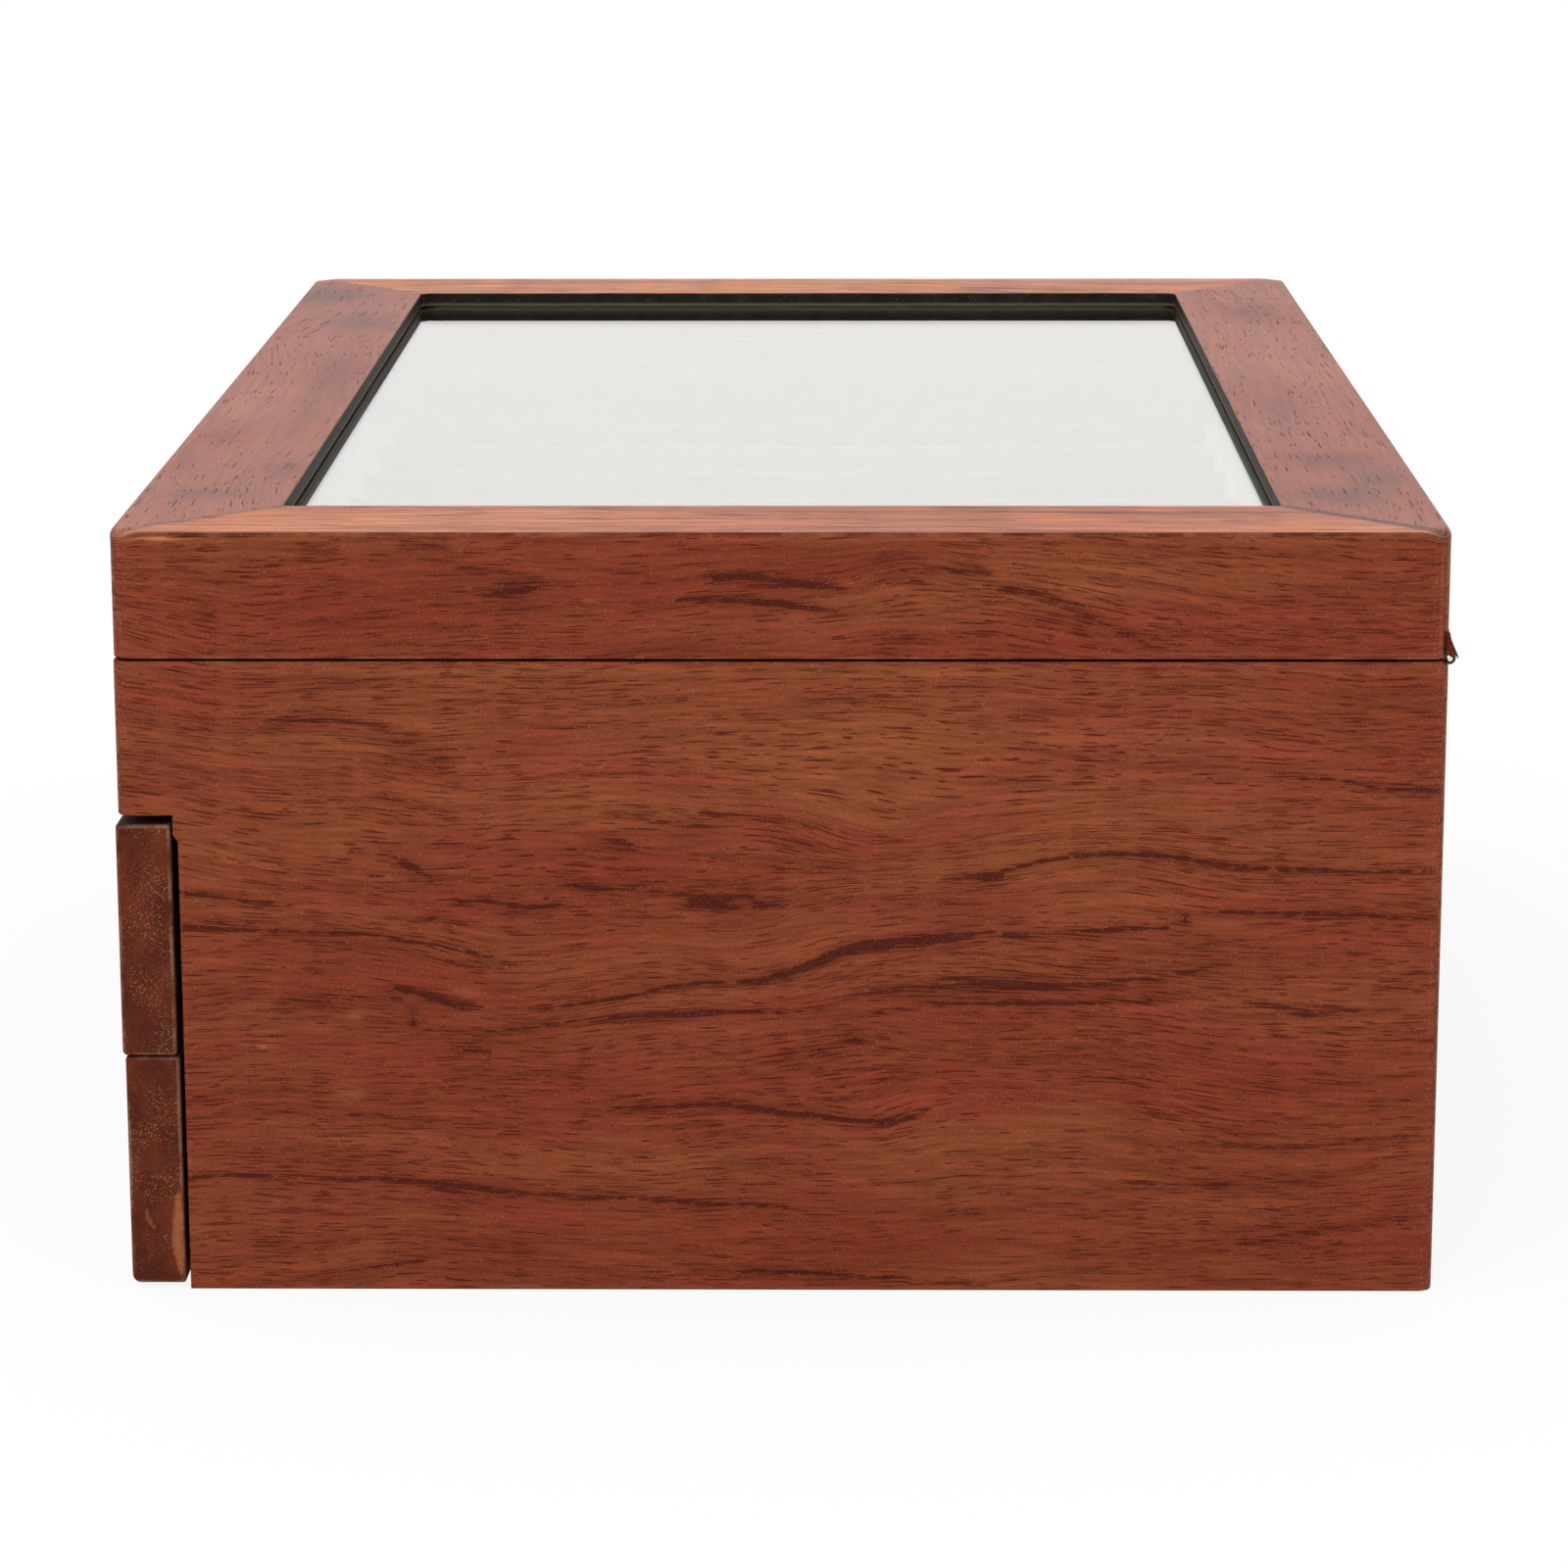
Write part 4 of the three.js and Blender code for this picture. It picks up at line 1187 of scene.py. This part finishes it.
# A rail's figures: the one on its outer face, and the one that lies flat on its top.
def railFigures(settings, side, number, width):
    half, low, top = halfOf(side), shell["lidBottom"], shell["lidTop"]
    outer = wildFigure(settings["outerSeed"] + number, (-half, low), (half, top), settings["outerStreaks"])
    flat = wildFigure(settings["flatSeed"] + number, (-half, top), (half, top + width),
                      settings["flatStreaks"][side], grainShift=settings["flatShift"] * (number + 1),
                      draw=settings["flatDraw"], flat=True)
    for look, *line in settings["cracks"].get(side, []):
        flat["streaks"].append((*look, *((a, top + b) for a, b in line)))
    flat["zones"] += [(a, top + b, *rest) for a, b, *rest in settings["clouds"].get(side, [])]
    return rightEnd if side == "right" else outer, flat


def buildLidRails(settings):
    low, top, wall = shell["lidBottom"], shell["lidTop"], shell["wall"]
    width = spanOf("lid_rail_front")[1][1] - shell["front"]
    lipUnder, bed, under = top - settings["lip"], width - settings["rebate"], settings["flangeUnder"]
    fine = settings["fine"]
    inner = [(width, top), (width, lipUnder), (bed, lipUnder), (bed, under), (wall, under), (wall, low)]
    for number, side in enumerate(("front", "right", "back", "left")):
        corners, radii, steps = [(0, low), (0, top)], settings["outerRadii"], [fine] * 2
        if side == "back":
            proud = settings["stopProud"]
            corners = [(-proud, low), (-proud, low + settings["stopLand"]), (0, low + settings["stopHeight"]),
                       (0, top)]
            radii, steps = settings["stopRadii"], [settings["stopFine"]] + [fine] * 3
        runs = runsOf(corners + inner, radii + settings["innerRadii"], steps + settings["innerSteps"])
        faces = len(corners)
        outer, flat = railFigures(settings, side, number, width)
        figures = [outer] * (faces - 1) + [flat] + [None] * len(inner)
        # The end rails' tops take the lighter copy of the veneer: a painted sheen.
        topFinish, stain = ("topVeneer", "stainAlongX") if side in longSides else ("sheenPaintedEndVeneer", "stainAlongY")
        finish = ["veneer"] * (faces - 1) + [topFinish] + ["blackPaint"] * 3 + [stain] * 2 + ["edgePaint"]
        opening = (width, settings["openingRadii"][side])
        patches, caps = mitredPatches(side, runs, settings["along"], figures, finish,
                                      settings["cornerRadius"], opening)
        patchPiece(f"lidRail_{side}", "lid", patches, caps, replaces=[f"lid_rail_{side}"])


buildLidRails(lidSettings)
print("lid rails made")


# Front board and back panel of the case: mitred boards whose top rim is painted.
caseSettings = {
    "fine": 0.34,
    "along": 1.1,
    "around": 2.0,
    "inner": 4.0,
    "radii": [0.4, 0.35, 0.3, 0.3],
    "boards": {
        "front_board": {"side": "front", "seed": 21, "step": 0.34, "streaks": 14, "grainShift": 231.0},
        "back_panel": {"side": "back", "seed": 22, "step": 0.5, "streaks": 46, "grainShift": 242.0},
    },
}


def buildBoard(nodeName, board, settings):
    low, high = spanOf(nodeName)
    half, wall = shell["halfLength"], shell["wall"]
    corners = [(0, low[2]), (0, high[2]), (wall, high[2]), (wall, low[2])]
    steps = [board["step"], settings["around"], settings["inner"], settings["around"]]
    runs = runsOf(corners, settings["radii"], steps)
    figure = wildFigure(board["seed"], (-half, low[2]), (half, high[2]), board["streaks"],
                        grainShift=board["grainShift"])
    finish = ["veneer", "edgePaint", "stainAlongX", "edgePaint"]
    patches, caps = mitredPatches(board["side"], runs, settings["along"], [figure, None, None, None], finish,
                                  joinery["cornerRadius"])
    patchPiece(camel(nodeName), "case", patches, caps, replaces=[nodeName])


for nodeName, board in caseSettings["boards"].items():
    buildBoard(nodeName, board, caseSettings)
print("case boards made")


# Side panels: the veneered face is a grid over its height and depth with the drawer notch left out, and it
# curves in towards each edge. At the head of the notch a tooth is left, where the edge stands forward.
# eased holds places in from an edge, and through shares of the way through the wall.
panelSettings = {
    "edge": 0.35,
    "eased": [0, 0.06, 0.17, 0.35, 0.6, 1.0, 1.6],
    "through": [0.0, 0.04, 0.12, 0.4, 0.8, 1.0],
    "tooth": {"height": 4.2, "slope": 1.2, "head": 2.0, "depth": 0.75, "reach": 3.0},
    "left": {"seed": 31, "streaks": 34, "grainShift": 260.0},
}
veryFar = 9.0  # millimetres, more than any distance that matters at an edge


def buildSidePanel(side, figure, settings):
    halfDepth, wall, seam = shell["halfDepth"], shell["wall"], joinery["mitreSeam"]
    depth, top, notchTop = 2 * halfDepth, shell["caseTop"], shell["notchTop"]
    notch = spanOf("bottom_panel")[0][1] - shell["front"]
    radius, edge = joinery["cornerRadius"], settings["edge"]
    eased = np.array(settings["eased"])
    rounded = cornerStations(radius)[:-1]
    cutAt = rounded[0]
    fine, coarse = caseSettings["fine"], caseSettings["along"]
    v = np.concatenate([rounded, np.arange(radius + 1.6, notch - 0.5, coarse), notch + eased,
                        np.arange(notch + 2.6, depth - radius - 1.4, coarse), (depth - rounded)[::-1]])
    z = np.concatenate([eased, np.arange(2.1, notchTop - 0.4, fine), notchTop + eased,
                        np.arange(notchTop + 2.1, top - 1.7, fine), (top - eased)[::-1]])
    v, z = v[:, None], z[None]
    over, behind = z >= notchTop - tiny, v >= notch - tiny

    # How far the face curves in: near the mitred ends, the long edges and round the notch.
    fromEnd = np.where(over, np.minimum(v, depth - v), depth - v)
    toTop, toBottom = top - z, np.where(behind, z, z - notchTop)
    toNotch = np.where(z < notchTop, v - notch, np.hypot(np.maximum(v - notch, 0), z - notchTop))
    toNotch = np.maximum(toNotch, 0) + (v < notch) * veryFar
    edgeDistance = np.minimum(np.minimum(toTop, np.maximum(toBottom, 0)), toNotch)
    edgeCurve = easing(edgeDistance, edge)
    inward = easing(fromEnd, radius) + edgeCurve
    tooth = settings["tooth"]
    below = notchTop - z
    high = np.clip(np.minimum((tooth["height"] - below) / tooth["slope"], 1 + below / tooth["head"]), 0, 1)
    forward = tooth["depth"] * high * np.clip(1 - np.abs(v - notch) / tooth["reach"], 0, 1)
    # The mitre runs back with the depth that the long edges take off.
    along = v - forward - halfDepth
    bent = np.where(over | (along > 0), along * (1 - edgeCurve / halfDepth), along)
    bent = np.clip(bent, -halfDepth + cutAt + seam, halfDepth - cutAt - seam)
    sense = 1 if side == "right" else -1
    points = coved(placed(side, bent * sense, inward, z))
    wear = np.exp(-np.minimum(edgeDistance, fromEnd) / wearFade)
    marks = figureMarks(figure, *np.broadcast_arrays(v, z))
    face = patch(points, "veneer", wear=wear, keep=(over | behind)[:-1, :-1], **marks)

    # The outline of the face, once round, and the same outline on the inner side of the panel.
    atNotchV = int(np.argmin(np.abs(v[:, 0] - notch)))
    atNotchZ = int(np.argmin(np.abs(z[0] - notchTop)))
    rows, columns = points.shape[:2]
    stretches = [
        ("edgePaint", [(i, 0) for i in range(atNotchV, rows)]),
        ("stainAlongY", [(rows - 1, j) for j in range(0, columns)]),
        ("edgePaint", [(i, columns - 1) for i in range(rows - 1, -1, -1)]),
        ("stainAlongY", [(0, j) for j in range(columns - 1, atNotchZ - 1, -1)]),
        ("edgePaint", [(i, atNotchZ) for i in range(0, atNotchV + 1)]),
        ("edgePaint", [(atNotchV, j) for j in range(atNotchZ, -1, -1)]),
    ]
    backs, patches = [], [face]
    shareIn = np.array(settings["through"])[:, None]
    for finish, stretch in stretches:
        i, j = np.array(stretch).T
        zHere = points[i, j][:, 2][None]
        inHere = inward[i, j][None] + (wall - inward[i, j])[None] * shareIn
        limit = halfDepth - seam - np.maximum(inHere, cutAt)
        lowest = np.where(zHere >= notchTop - tiny, -limit, -halfDepth)
        alongHere = np.clip(bent[i, j][None], lowest, limit)
        ring = coved(placed(side, alongHere * sense, inHere, zHere))
        wearHere = np.exp(-shareIn * wall / wearFade) + np.zeros(len(i))
        patches.append(patch(ring, finish, wear=wearHere))
        backs.append(ring[-1][:-1])
    patchPiece(f"sidePanel_{side}", "case", patches, [(np.vstack(backs), "stainAlongY")],
               replaces=[f"side_panel_{side}"])


left = panelSettings["left"]
leftEnd = wildFigure(left["seed"], (0, 0), (2 * shell["halfDepth"], shell["caseTop"]), left["streaks"],
                     grainShift=left["grainShift"])
buildSidePanel("right", rightEnd, panelSettings)
buildSidePanel("left", leftEnd, panelSettings)
print("side panels made")


axisShift = 13.0  # millimetres by which the grain map is shifted from one pair of faces to the next


# A block with all edges and corners eased. Each of its six faces is a grid; every point is drawn in to
# the box that is smaller by the radius all round, and moved out again by the radius along its normal.
def blockPatches(low, high, radius, steps, finishOfFace, reshape=None, figure=None):
    low, high = np.array(low, float), np.array(high, float)
    size = high - low
    turn = radius * np.array([0, 0.3, 0.6, 1.0])
    stations = [np.concatenate([low[k] + turn, low[k] + radius + spread(size[k] - 2 * radius, steps[k]),
                                (high[k] - turn)[::-1]]) for k in range(3)]
    patches = []
    for axis in range(3):
        first, second = [k for k in range(3) if k != axis]
        for side, level in enumerate((low[axis], high[axis])):
            points = np.empty((len(stations[first]), len(stations[second]), 3))
            points[..., axis] = level
            points[..., first] = stations[first][:, None]
            points[..., second] = stations[second][None]
            core = np.clip(points, low + radius, high - radius)
            out = points - core
            points = core + radius * out / np.maximum(np.linalg.norm(out, axis=-1, keepdims=True), tiny)
            inside = np.sort(np.minimum(points - low, high - points), axis=-1)[..., 1]
            wear = np.exp(-np.maximum(inside - radius, 0) / wearFade)
            marks = {}
            a, b = points[..., 0], points[..., second] + (points[..., axis] - low[axis] if axis else 0)
            if figure is not None:
                marks = figureMarks(figure, a, b)
                marks["grain"] += axisShift * axis
            if reshape is not None:
                points = reshape(points)
            patches.append(patch(points, finishOfFace[2 * axis + side], wear=wear, **marks))
    return patches


# Drawer fronts: veneered boards with painted ends and a round finger notch in the top edge. The height of
# each point is scaled so that the top edge follows the notch's circle. Smears lie on the right-hand ends:
# width, strength, then points behind the front face and above the table.
frontSettings = {
    "radius": 0.5,
    "fingerHalf": 20.0,
    "fingerDepth": 10.0,
    "steps": (1.5, 0.5, 0.55),
    "streaks": 20,
    "lower": {
        "footRadius": 1.4,
        "seed": 51,
        "grainShift": 357.0,
        "smears": [(1.0, 1.0, (7.6, 16), (7.4, 11), (7.2, 7), (7.7, 2.5)),
                   (0.6, 0.7, (2.3, 13.5), (2.9, 11), (3.9, 9.8))],
    },
    "upper": {
        "footRadius": 0.8,
        "seed": 52,
        "grainShift": 364.0,
        "smears": [(0.8, 0.3, (5.5, 41), (7.0, 46), (7.6, 52))],
    },
}


def buildDrawerFront(name):
    own = frontSettings[name]
    low, high = spanOf(f"{name}_drawer_front")
    half, deep = frontSettings["fingerHalf"], frontSettings["fingerDepth"]
    circle = (half ** 2 + deep ** 2) / (2 * deep)

    def notched(points):
        x = np.abs(points[..., 0])
        dip = np.where(x < half, deep - circle + np.sqrt(np.maximum(circle ** 2 - x ** 2, 0)), 0)
        share = (points[..., 2] - low[2]) / (high[2] - low[2])
        moved = points.copy()
        moved[..., 2] -= dip * share ** 3
        # The square at the lower front edge becomes a quarter disc: a sqrt(1 - b^2 / 2), b sqrt(1 - a^2 / 2).
        foot = own["footRadius"]
        a, b = (np.clip((moved[..., k] - low[k]) / foot - 1, -1, 0) for k in (1, 2))
        moved[..., 1] += foot * a * (np.sqrt(1 - b ** 2 / 2) - 1)
        moved[..., 2] += foot * b * (np.sqrt(1 - a ** 2 / 2) - 1)
        return moved
    figure = wildFigure(own["seed"], (low[0], low[2]), (high[0], high[2]), frontSettings["streaks"],
                        grainShift=own["grainShift"])
    finish = ["edgePaint", "edgePaint", "veneer", "stainAlongX", "edgePaint", "shadedPaint"]
    patches = blockPatches(low, high, frontSettings["radius"], frontSettings["steps"], finish, notched,
                           figure)
    for end in patches[:2]:
        y, z = end["points"][:, 1] - low[1], end["points"][:, 2]
        end["streak"] = paintStreaks(y, z, own["smears"] if end is patches[1] else [])
        end["tone"] = np.zeros(len(y))
    patchPiece(f"drawerFront_{name}", f"{name}_drawer", patches, replaces=[f"{name}_drawer_front"])


# Plain blocks: what each is made of, how far its edges are eased and the steps of its grid.
blocks = {
    "drawerSide": {"slot": "stained_wood", "finish": "stainAlongY", "radius": 0.5, "steps": (2, 4, 2)},
    "drawerBack": {"slot": "stained_wood", "finish": "stainAlongX", "radius": 0.5, "steps": (4, 2, 2)},
    "liner": {"slot": "velvet", "finish": "velvet", "radius": 0.7, "steps": (4, 4, 3)},
    "pane": {"slot": "glass", "finish": "glass", "radius": 0.25, "steps": (6, 6, 1)},
}


def buildBlock(nodeName, body, block):
    patches = blockPatches(*spanOf(nodeName), block["radius"], block["steps"], [block["finish"]] * 6)
    patchPiece(camel(nodeName), body, patches, replaces=[nodeName])


buildDrawerFront("lower")
buildDrawerFront("upper")
for drawer in ("lower_drawer", "upper_drawer"):
    for hand in ("left", "right"):
        buildBlock(f"{drawer}_side_{hand}", drawer, blocks["drawerSide"])
    buildBlock(f"{drawer}_back", drawer, blocks["drawerBack"])
for side in ("front", "back", "left", "right"):
    buildBlock(f"liner_{side}", "case", blocks["liner"])
buildBlock("glass_pane", "lid", blocks["pane"])
print("drawers, liners and pane made")


# Pen trays: round troughs between round ridges, which meet in a common tangent. Towards both ends of the
# troughs the depth falls to nothing along a quarter circle, as cloth does over an edge.
traySettings = {
    "grooves": 9,
    "base": 2.5,
    "ridgeRadius": 4.0,
    "border": 5.0,
    "endSweep": 5.0,
    "edgeRadius": 1.2,
    "edgeStations": [0, 0.3, 0.7, 1.2],
    "borderStations": [2.2, 3.4],
    "sweepSteps": 9,
    "acrossSteps": 20,
    "alongStep": 2.2,
    "sharp": 50,
}


def buildTray(nodeName, body, settings):
    low, high = spanOf(nodeName)
    width, crest = high[0] - low[0], high[2]
    pitch = width / settings["grooves"]
    height = crest - low[2] - settings["base"]
    reach = ((pitch / 2) ** 2 + height ** 2) / (2 * height)
    trough = reach - settings["ridgeRadius"]
    lean = math.asin((reach - height) / reach)
    tangent = pitch / 2 - settings["ridgeRadius"] * math.cos(lean)

    count = settings["grooves"] * settings["acrossSteps"] + 1
    edges = np.array(settings["edgeStations"])
    x = np.concatenate([low[0] + edges, np.linspace(low[0], high[0], count), high[0] - edges])
    x = np.unique(x.round(4))
    fromTrough = np.abs((x - low[0]) % pitch - pitch / 2)
    onTrough = height - trough + np.sqrt(np.maximum(trough ** 2 - fromTrough ** 2, 0))
    toRidge = pitch / 2 - fromTrough
    ridge = settings["ridgeRadius"]
    onRidge = ridge - np.sqrt(np.maximum(ridge ** 2 - toRidge ** 2, 0))
    depthAcross = np.where(fromTrough < tangent, onTrough, onRidge)

    sweep, border = settings["endSweep"], settings["border"]
    swept = border + sweep * (1 - np.cos(np.linspace(0, np.pi / 2, settings["sweepSteps"])))
    ends = np.concatenate([edges, settings["borderStations"], swept])
    length = high[1] - low[1]
    middle = np.arange(ends[-1] + 1, length - ends[-1] - 0.5, settings["alongStep"])
    y = np.concatenate([ends, middle, length - ends[::-1]])
    inFromEnd = np.clip(np.minimum(y, length - y) - border, 0, sweep)
    share = np.sqrt(1 - (1 - inFromEnd / sweep) ** 2)
    y = y + low[1]

    # The outer edge rolls over: the surface drops by a quarter circle within the edge radius.
    roll = settings["edgeRadius"]
    inX = np.clip(roll - np.minimum(x - low[0], high[0] - x), 0, roll)
    inY = np.clip(roll - np.minimum(y - low[1], high[1] - y), 0, roll)
    fall = np.minimum(np.hypot(inX[:, None], inY[None]), roll)
    drop = roll - np.sqrt(roll ** 2 - fall ** 2)
    top = crest - np.maximum(np.minimum(depthAcross[:, None] * share[None], height), drop)
    grid = np.stack(np.broadcast_arrays(x[:, None], y[None], top), axis=-1)
    rim = [grid[:, 0], grid[-1], grid[::-1, -1], grid[0, ::-1]]
    patches = [patch(grid, "velvet")]
    levels = np.array([1.0, 0.5, 0.0])[:, None]
    outline = []
    for edge in rim:
        ring = np.broadcast_to(edge, (3, *edge.shape)).copy()
        ring[..., 2] = low[2] + (edge[:, 2] - low[2])[None] * levels
        patches.append(patch(ring, "velvet"))
        outline.append(ring[-1][:-1])
    patchPiece(camel(nodeName), body, patches, [(np.vstack(outline), "velvet")],
               settings["sharp"], [nodeName])


buildTray("pen_tray_top", "case", traySettings)
buildTray("pen_tray_lower", "lower_drawer", traySettings)
buildTray("pen_tray_upper", "upper_drawer", traySettings)
print("pen trays made")


# Hinge: two leaves with rolled knuckles round one pin, and countersunk screws. Screw rings are shares of the
# head's radius, and the pin's dome is places in from its end with their shares of its radius.
hingeSettings = {
    "knuckles": 23,
    "gap": 0.3,
    "leaf": 0.35,
    "clearance": 0.05,
    "curlEnd": 200.0,
    "bite": 0.15,
    "screws": 5,
    "headRadius": 1.6,
    "headRise": 0.12,
    "slotHalf": 0.22,
    "slotReach": 0.95,
    "slotDepth": 0.5,
    "curlSteps": 30,
    "leafRadius": 0.08,
    "leafSteps": (6, 1.5, 1),
    "headRings": [0.0, 0.12, 0.2, 0.26, 0.34, 0.45, 0.55, 0.68, 0.8, 0.92, 1.0],
    "headSteps": 48,
    "headSunk": 0.25,
    "pinDome": [(0, 0), (0.03, 0.5), (0.12, 0.85), (0.3, 1)],
    "pinSteps": 24,
    "sharp": 40,
}


# One rolled knuckle: a strip that runs in under the barrel and curls round the pin, drawn as inner and
# outer arcs about the pin and carried along it.
def knucklePatches(settings, start, end, up):
    inner = hinge["pin"] + settings["clearance"]
    outer = inner + settings["leaf"]
    angle = np.radians(np.linspace(-90, settings["curlEnd"], settings["curlSteps"]))
    tail = -(outer + settings["bite"] + settings["gap"])
    arc = np.stack([np.cos(angle), np.sin(angle)], axis=1)
    loop = np.vstack([[tail, -outer], outer * arc, inner * arc[::-1], [tail, -inner]])
    if up:
        loop = loop[::-1] * (1, -1)
    closed = np.vstack([loop, loop[:1]])
    rows = []
    for x in (start, end):
        rows.append(np.column_stack([np.full(len(closed), x), closed + (hinge["y"], hinge["z"])]))
    return patch(np.stack(rows), "hingeMetal"), [(row[:-1], "hingeMetal") for row in rows]


# A leaf's flat part and every other knuckle. The lid's leaf lies on top of the barrel, the case's under it.
def buildHingeLeaf(settings, up, body, nodeName):
    low, high = spanOf(nodeName)
    outer = hinge["pin"] + settings["clearance"] + settings["leaf"]
    rear = hinge["y"] - outer - settings["bite"]
    if up:
        flat = hinge["z"] + outer - settings["leaf"], hinge["z"] + outer
    else:
        flat = hinge["z"] - outer, hinge["z"] - outer + settings["leaf"]
    end = -low[0] if up else high[0]
    patches = blockPatches((low[0], low[1], flat[0]), (end, rear, flat[1]), settings["leafRadius"],
                           settings["leafSteps"], ["hingeMetal"] * 6)
    caps = []
    pitch = 2 * hinge["half"] / settings["knuckles"]
    for i in range(1 if up else 0, settings["knuckles"], 2):
        start = -hinge["half"] + i * pitch + settings["gap"] / 2
        rolled, ends = knucklePatches(settings, start, start + pitch - settings["gap"], up)
        patches.append(rolled)
        caps += ends
    patchPiece(camel(nodeName), body, patches, caps, settings["sharp"], [nodeName])
    return flat, (rear + low[1]) / 2


# A countersunk screw: its head is a shallow dome, turned about its axis, with a cross sunk into it. The
# outline in radius and height is carried round, and the cross lowers the points that lie within it.
def screwPatches(settings, x, y, z, up):
    radius = settings["headRadius"]
    ring = np.array(settings["headRings"]) * radius
    angle = np.linspace(0, 2 * np.pi, settings["headSteps"] + 1)
    along, over = ring[:, None] * np.cos(angle), ring[:, None] * np.sin(angle)
    height = settings["headRise"] * (1 - (ring / radius) ** 2)[:, None] + np.zeros_like(along)
    half, reach = settings["slotHalf"], settings["slotReach"]
    inArm = np.minimum(np.abs(along), np.abs(over)) < half
    height -= settings["slotDepth"] * (inArm & (np.hypot(along, over) < reach))
    top = np.stack([along, over, height], axis=-1)
    rim = np.column_stack([along[-1], over[-1], np.full(angle.shape, -settings["headSunk"])])
    sign = -1 if up else 1
    head = np.concatenate([top, rim[None]]) * (1, 1, sign) + (x, y, z)
    return patch(head, "screwMetal"), (head[-1][:-1], "screwMetal")


def buildScrews(settings, level, y, body, name, up):
    patches, caps = [], []
    for i in range(settings["screws"]):
        x = ((i + 0.5) / settings["screws"] - 0.5) * 2 * hinge["half"]
        head, cap = screwPatches(settings, x, y, level, up)
        patches.append(head)
        caps.append(cap)
    patchPiece(name, body, patches, caps, settings["sharp"])


caseFlat, leafY = buildHingeLeaf(hingeSettings, False, "case", "hinge_leaf_case")
lidFlat, _ = buildHingeLeaf(hingeSettings, True, "lid", "hinge_leaf_lid")
buildScrews(hingeSettings, caseFlat[1], leafY, "case", "hingeScrewsCase", False)
buildScrews(hingeSettings, lidFlat[0], leafY, "lid", "hingeScrewsLid", True)


# The pin: a rod with both ends domed a little.
def buildPin(settings):
    angle = np.linspace(0, 2 * np.pi, settings["pinSteps"] + 1)
    inEnd, share = np.array(settings["pinDome"], float).T
    radius = np.concatenate([share, share[::-1]])[:, None] * hinge["pin"]
    x = np.concatenate([-hinge["half"] + inEnd, (hinge["half"] - inEnd)[::-1]])
    grid = np.stack(np.broadcast_arrays(x[:, None], hinge["y"] + radius * np.cos(angle),
                                        hinge["z"] + radius * np.sin(angle)), axis=-1)
    patchPiece("hingePin", "case", [patch(grid, "pinMetal")], (), settings["sharp"],
               ["hinge_pin"])


buildPin(hingeSettings)
print("hinge made")


# CAD nodes that stay as they are take a finish
kept = {
    "bottom_panel": "stainAlongX",
    "drawer_divider": "stainAlongX",
    "tray_deck": "stainAlongX",
    "lower_drawer_floor": "stainAlongX",
    "upper_drawer_floor": "stainAlongX",
    "glass_bead_front": "blackPaint",
    "glass_bead_back": "blackPaint",
    "glass_bead_left": "blackPaint",
    "glass_bead_right": "blackPaint",
}
for nodeName, finishName in kept.items():
    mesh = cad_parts[nodeName].data
    mesh.materials.clear()
    mesh.materials.append(finishes[finishName])
print("kept nodes finished:", len(kept))
